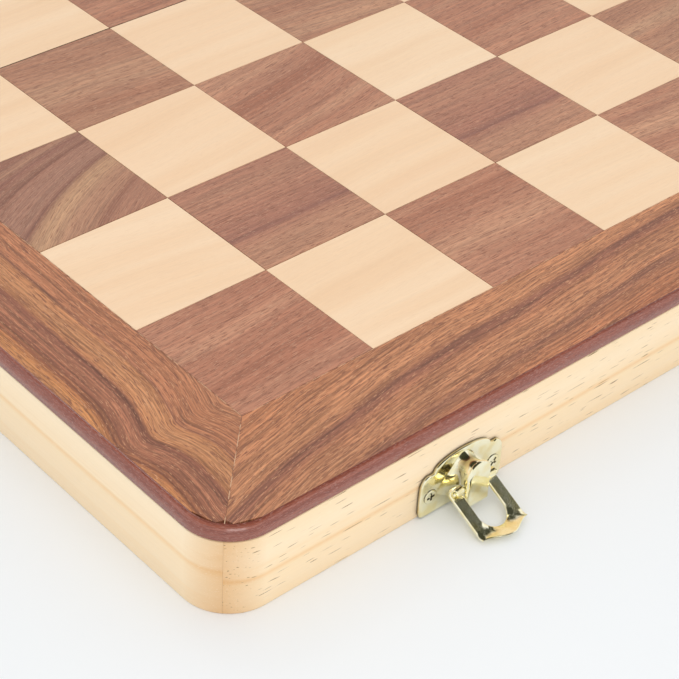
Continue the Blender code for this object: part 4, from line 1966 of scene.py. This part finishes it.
@dataclass
class Hinge:
    """The screws and finish of a butt hinge let into the foot of the centre rails."""

    word: str
    x: float
    fold_y: float
    brass: Material
    leaf_z: float = 0.15
    screw_out: float = 4.9
    screw_side: float = 9.5

    def build(self, nodes: dict[str, Object]) -> None:
        """Dress the leaves and the pin, and screw both leaves down.

        Args:
            nodes: the frame's objects by name.
        """
        for part in ("near_leaf", "far_leaf", "pin"):
            nodes[f"{self.word}_hinge_{part}"].data.materials[0] = self.brass
        for half in Half:
            draft = Draft(f"{self.word}_hinge_{half.word}_screws")
            y = self.fold_y + half.value * self.screw_out
            for hand in (-1, 1):
                at = (self.x + hand * self.screw_side, y, self.leaf_z)
                Screw(1.6, 0.1, 0.95, 0.26, 0.4).add_to(draft, at, (0, 1, 0), (0, 0, -1))
            piece = draft.build(self.brass, 38, merge=False)
            settle(piece, half.body, "brass")


# ----------------------------------------------------------------------- chessmen


# Outlines of the turned parts: share of the base radius and of the height.
PROFILES: dict[Man, tuple[Flat, ...]] = {
    Man.PAWN: (
        (0.93, 0.0), (1.0, 0.03), (1.0, 0.09), (0.86, 0.13), (0.84, 0.17), (0.62, 0.22),
        (0.45, 0.32), (0.37, 0.46), (0.36, 0.53), (0.58, 0.57), (0.58, 0.6), (0.36, 0.63),
        (0.42, 0.67), (0.53, 0.76), (0.53, 0.85), (0.4, 0.95), (0.18, 0.995), (0.02, 1.0),
    ),
    Man.ROOK: (
        (0.93, 0.0), (1.0, 0.03), (1.0, 0.09), (0.86, 0.13), (0.84, 0.17), (0.64, 0.23),
        (0.54, 0.34), (0.5, 0.58), (0.52, 0.64), (0.68, 0.69), (0.7, 0.73), (0.7, 0.8),
    ),
    Man.KNIGHT: (
        (0.93, 0.0), (1.0, 0.03), (1.0, 0.08), (0.86, 0.12), (0.84, 0.155), (0.68, 0.2),
        (0.62, 0.25), (0.68, 0.28), (0.66, 0.31), (0.3, 0.325), (0.02, 0.33),
    ),
    Man.BISHOP: (
        (0.93, 0.0), (1.0, 0.025), (1.0, 0.08), (0.86, 0.115), (0.84, 0.15), (0.6, 0.2),
        (0.42, 0.32), (0.34, 0.5), (0.35, 0.56), (0.58, 0.59), (0.58, 0.615), (0.36, 0.64),
        (0.4, 0.67), (0.5, 0.75), (0.46, 0.84), (0.26, 0.92), (0.13, 0.94), (0.16, 0.965),
        (0.12, 0.99), (0.02, 1.0),
    ),
    Man.QUEEN: (
        (0.93, 0.0), (1.0, 0.02), (1.0, 0.07), (0.86, 0.1), (0.84, 0.13), (0.6, 0.18),
        (0.44, 0.3), (0.35, 0.52), (0.37, 0.61), (0.6, 0.645), (0.6, 0.665), (0.4, 0.69),
        (0.42, 0.74), (0.56, 0.84), (0.64, 0.9), (0.52, 0.905), (0.38, 0.93), (0.2, 0.95),
        (0.12, 0.958), (0.16, 0.975), (0.12, 0.993), (0.02, 1.0),
    ),
    Man.KING: (
        (0.93, 0.0), (1.0, 0.02), (1.0, 0.065), (0.86, 0.09), (0.84, 0.12), (0.62, 0.17),
        (0.46, 0.3), (0.37, 0.5), (0.39, 0.59), (0.62, 0.625), (0.62, 0.645), (0.42, 0.67),
        (0.44, 0.72), (0.56, 0.8), (0.63, 0.855), (0.5, 0.875), (0.3, 0.895), (0.12, 0.905),
        (0.02, 0.908),
    ),
}
# Outline of the horse's head, nose toward +X, in the same shares.
HORSE = (
    (-0.62, 0.3), (-0.66, 0.4), (-0.74, 0.55), (-0.66, 0.72), (-0.42, 0.87), (-0.12, 0.955),
    (0.06, 0.99), (0.22, 0.93), (0.42, 0.88), (0.7, 0.78), (0.95, 0.7), (0.94, 0.62),
    (0.8, 0.575), (0.5, 0.6), (0.36, 0.58), (0.3, 0.52), (0.44, 0.42), (0.5, 0.3),
)


@dataclass
class Chessmen:
    """The sixteen men of one colour, lying in their pockets with heads outward."""

    tray: FoamTray
    colour: str
    slot: str
    material: Material
    sides: int = 48
    per_span: int = 3
    battlement: float = 2.6
    coronet: float = 0.9

    def ring(self, radius: float, height: float, crown: Man | None = None) -> list[Point]:
        """Return one ring of a turned man.

        Args:
            radius: the ring's radius.
            height: its height over the base.
            crown: a rook or queen, if the ring is notched as that man's crown.

        Returns:
            The ring's points.
        """
        found = []
        for step in range(self.sides):
            turn = 2 * math.pi * step / self.sides
            rise = 0.0
            if crown is Man.ROOK:
                rise = -self.battlement if step % 8 in (0, 1, 2) else 0.0
            if crown is Man.QUEEN:
                rise = self.coronet * abs(math.cos(4 * turn)) - self.coronet
            found.append((radius * math.cos(turn), radius * math.sin(turn), height + rise))
        return found

    def rings(self, kind: Man) -> list[list[Point]]:
        """Return the turned rings of a man that stands on its base.

        Args:
            kind: which man.

        Returns:
            The rings from the foot up.
        """
        radius, height = MEN_SIZES[kind]
        curve = smoothed(PROFILES[kind], self.per_span)
        rings = [self.ring(radius * share, height * rise) for share, rise in curve]
        if kind is Man.ROOK:
            rings.append(self.ring(radius * 0.72, height * 0.88))
            rings.append(self.ring(radius * 0.72, height, kind))
            rings.append(self.ring(radius * 0.5, height, kind))
            rings.append(self.ring(radius * 0.48, height * 0.9))
        if kind is Man.QUEEN:
            crown = max(range(len(rings)), key=lambda spot: self.crown_size(rings[spot]))
            rings[crown] = self.ring(radius * 0.64, height * 0.905, kind)
        return rings

    @staticmethod
    def crown_size(ring: Sequence[Point]) -> float:
        """Return a ring's radius if it is high on the man, else nothing."""
        return math.hypot(ring[0][0], ring[0][1]) if ring[0][2] > 40 else 0.0

    def horse_head(self, radius: float, height: float) -> list[list[Point]]:
        """Return the horse's head as rings from one cheek to the other.

        Args:
            radius: the base's radius.
            height: the man's height.

        Returns:
            The rings.
        """
        outline = smoothed([*HORSE, HORSE[0]], 4)[:-1]
        middle = (-0.05, 0.62)
        rings = []
        for level in range(-4, 5):
            side = level / 4
            shrink = math.sqrt(max(0.0, 1 - (0.93 * side) ** 2)) * 0.35 + 0.65
            if abs(level) == 4:
                shrink *= 0.8
            ring = []
            for x, z in outline:
                px = middle[0] + (x - middle[0]) * shrink
                pz = middle[1] + (z - middle[1]) * shrink
                thin = 0.36 if z < 0.75 else 0.3
                ring.append((px * radius, side * thin * radius, pz * height))
            rings.append(ring)
        return rings

    def cross(self, radius: float, height: float) -> list[list[Point]]:
        """Return the king's cross as rings from front to back.

        Args:
            radius: the base's radius.
            height: the man's height.

        Returns:
            The rings.
        """
        arm, half = 0.26, 0.09
        low, middle, high = 0.895 * height, 0.948 * height, height
        plan = [
            (-half * 1.3, low), (half * 1.3, low), (half, middle - half * radius),
            (arm, middle - half * 1.3 * radius), (arm, middle + half * 1.3 * radius),
            (half, middle + half * radius), (half * 1.3, high), (-half * 1.3, high),
            (-half, middle + half * radius), (-arm, middle + half * 1.3 * radius),
            (-arm, middle - half * 1.3 * radius), (-half, middle - half * radius),
        ]
        rings = []
        for depth, shrink in ((-1.0, 0.85), (-0.7, 1.0), (0.7, 1.0), (1.0, 0.85)):
            y, wide, tall = depth * half * radius, radius * shrink, 0.97 + 0.03 * shrink
            rings.append([(x * wide, y, middle + (z - middle) * tall) for x, z in plan])
        return rings

    def lay(self, draft: Draft, rings: list[list[Point]], base: Point) -> None:
        """Add rings that stand on a base to a draft, laid down with the head outward.

        Args:
            draft: the mesh that takes them.
            rings: the rings, foot at the origin.
            base: where the foot goes.
        """
        way = self.tray.half.value
        x0, y0, z0 = base
        draft.loft([[(x0 + x, y0 + way * z, z0 - way * y) for x, y, z in ring] for ring in rings])

    def build(self) -> None:
        """Turn all sixteen men and seat them in their pockets."""
        tally: dict[Man, int] = {}
        way = self.tray.half.value
        for number, (x, out, kind) in enumerate(self.tray.pockets()):
            tally[kind] = tally.get(kind, 0) + 1
            radius, height = MEN_SIZES[kind]
            node = f"{self.colour}_{kind.value}"
            if kind not in (Man.KING, Man.QUEEN):
                node = f"{node}_{tally[kind]}"
            y = self.tray.sizes.place(self.tray.half, x, out)[1] - way * height / 2
            base = (x, y, self.tray.top - self.tray.sizes.gap - radius)
            shift = 61.0 * number
            draft = Draft(
                f"{node}_turned",
                grain_of=lambda p, shift=shift: (p[1] + shift, p[0] + shift, p[2] + shift),
            )
            self.lay(draft, self.rings(kind), base)
            if kind is Man.KNIGHT:
                self.lay(draft, self.horse_head(radius, height), base)
            if kind is Man.KING:
                self.lay(draft, self.cross(radius, height), base)
            piece = draft.build(self.material, 45, merge=False)
            settle(piece, self.tray.half.body, self.slot, (node,))


# ------------------------------------------------------------------------ the studio


@dataclass
class Studio:
    """A white paper floor, soft light from all round and the camera."""

    camera_place: Point = (-0.390832, -0.430802, 0.329858)
    camera_turn: Point = (52.007, -2.555, -41.124)
    lens: float = 110.269
    sensor: float = 36.0
    floor_reach: float = 3.0
    sky: float = 0.9
    key: float = 1.7
    glint: float = 0.5
    sky_colour: str = "#fdfeff"
    backdrop: str = "#f4f6f7"
    # What polished metal sees, from the floor up: pale walls and a dark ceiling.
    room: Bands = ((0.0, "#f4f4f2"), (0.69, "#ffffff"), (0.74, "#8f8f86"), (0.78, "#3c3e32"))

    def add_floor(self) -> None:
        """Lay the paper floor."""
        shape = bmesh.new()
        bmesh.ops.create_grid(shape, x_segments=12, y_segments=12, size=self.floor_reach)
        mesh = bpy.data.meshes.new("paper_floor")
        publish(mesh, shape, BackdropPaper().material(), 40)

    def add_sky(self) -> None:
        """Surround the set with even light; polished metal sees pale walls and a dark ceiling."""
        world = bpy.data.worlds.new("soft_studio")
        world.use_nodes = True
        tree = world.node_tree
        tree.nodes.clear()
        path = add_node(tree, "LightPath")
        even = add_node(tree, "Background", {"Color": self.sky_colour, "Strength": self.sky})
        seen = add_node(tree, "Background", {"Color": self.backdrop, "Strength": 1.0})
        way = add_node(tree, "TexCoord").outputs["Generated"]
        up = add_node(tree, "SeparateXYZ", feeds={0: way}).outputs["Z"]
        walls = add_node(tree, "ValToRGB", {"stops": self.room}, {0: up})
        room = add_node(tree, "Background", {"Strength": 1.0}, {"Color": walls})
        feeds = {0: path.outputs["Is Glossy Ray"], 1: even, 2: room}
        lit = add_node(tree, "MixShader", feeds=feeds)
        feeds = {0: path.outputs["Is Camera Ray"], 1: lit, 2: seen}
        whole = add_node(tree, "MixShader", feeds=feeds)
        add_node(tree, "OutputWorld", feeds={0: whole})
        bpy.context.scene.world = world

    def add_light(self, name: str, place: Point, size: float, power: float) -> None:
        """Hang a square softbox that faces the board.

        Args:
            name: the lamp's name.
            place: where it hangs, in metres.
            size: its edge, in metres.
            power: its power, in watts.
        """
        lamp = bpy.data.lights.new(name, "AREA")
        lamp.size = size
        lamp.energy = power
        thing = bpy.data.objects.new(name, lamp)
        thing.location = place
        aim = Vector((0.0, 0.0, 0.0)) - Vector(place)
        thing.rotation_euler = aim.to_track_quat("-Z", "Y").to_euler()
        bpy.context.scene.collection.objects.link(thing)

    def add_camera(self) -> None:
        """Set up the camera."""
        lens = bpy.data.cameras.new("view")
        lens.lens = self.lens
        lens.sensor_width = self.sensor
        lens.clip_start = 0.01
        camera = bpy.data.objects.new("view", lens)
        camera.location = self.camera_place
        camera.rotation_euler = [math.radians(turn) for turn in self.camera_turn]
        bpy.context.scene.collection.objects.link(camera)
        bpy.context.scene.camera = camera

    def build(self) -> None:
        """Set up floor, light and camera."""
        self.add_floor()
        self.add_sky()
        self.add_light("left_softbox", (-0.45, -0.75, 0.6), 0.45, self.key)
        self.add_light("rear_softbox", (0.1, 0.75, 1.2), 0.3, self.glint)
        self.add_camera()
        scene = bpy.context.scene
        scene.view_settings.view_transform = "Standard"
        scene.view_settings.look = "None"


def main() -> None:
    """Build the whole set around the frame, piece by piece."""
    logging.basicConfig(level=logging.INFO, format="%(message)s")
    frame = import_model()
    nodes = frame["nodes"]
    Studio().build()
    finishes = Finishes()
    near_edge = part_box("near_veneer")[1] / MM
    sizes = BoardSizes(fold_y=near_edge.y + BoardSizes.fold_gap)
    for half, colour, slot, wood in (
        (Half.NEAR, "white", "pale_men", finishes.pale_men),
        (Half.FAR, "black", "dark_men", finishes.dark_men),
    ):
        InlaidTop(sizes, half, finishes).build()
        CoreBoard(sizes, half, finishes).build()
        RailFrame(sizes, half, finishes).build()
        nodes[f"{half.word}_centre_rail"].data.materials[0] = finishes.frame_pine
        tray = FoamTray(sizes, half, finishes)
        tray.build()
        Chessmen(tray, colour, slot, wood).build()
    for word in ("left", "right"):
        low, high = (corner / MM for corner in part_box(f"{word}_clasp_plate"))
        middle = (low.x + high.x) / 2
        Clasp(word, middle, high.y + 0.3, finishes.brass, finishes.strip_brass).build(nodes)
        low, high = (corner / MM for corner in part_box(f"{word}_catch_plate"))
        Catch(word, middle, low.y - 0.3, finishes.brass).build()
        low, high = (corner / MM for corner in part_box(f"{word}_hinge_pin"))
        Hinge(word, (low.x + high.x) / 2, sizes.fold_y, finishes.brass).build(nodes)


if __name__ == "__main__":
    main()
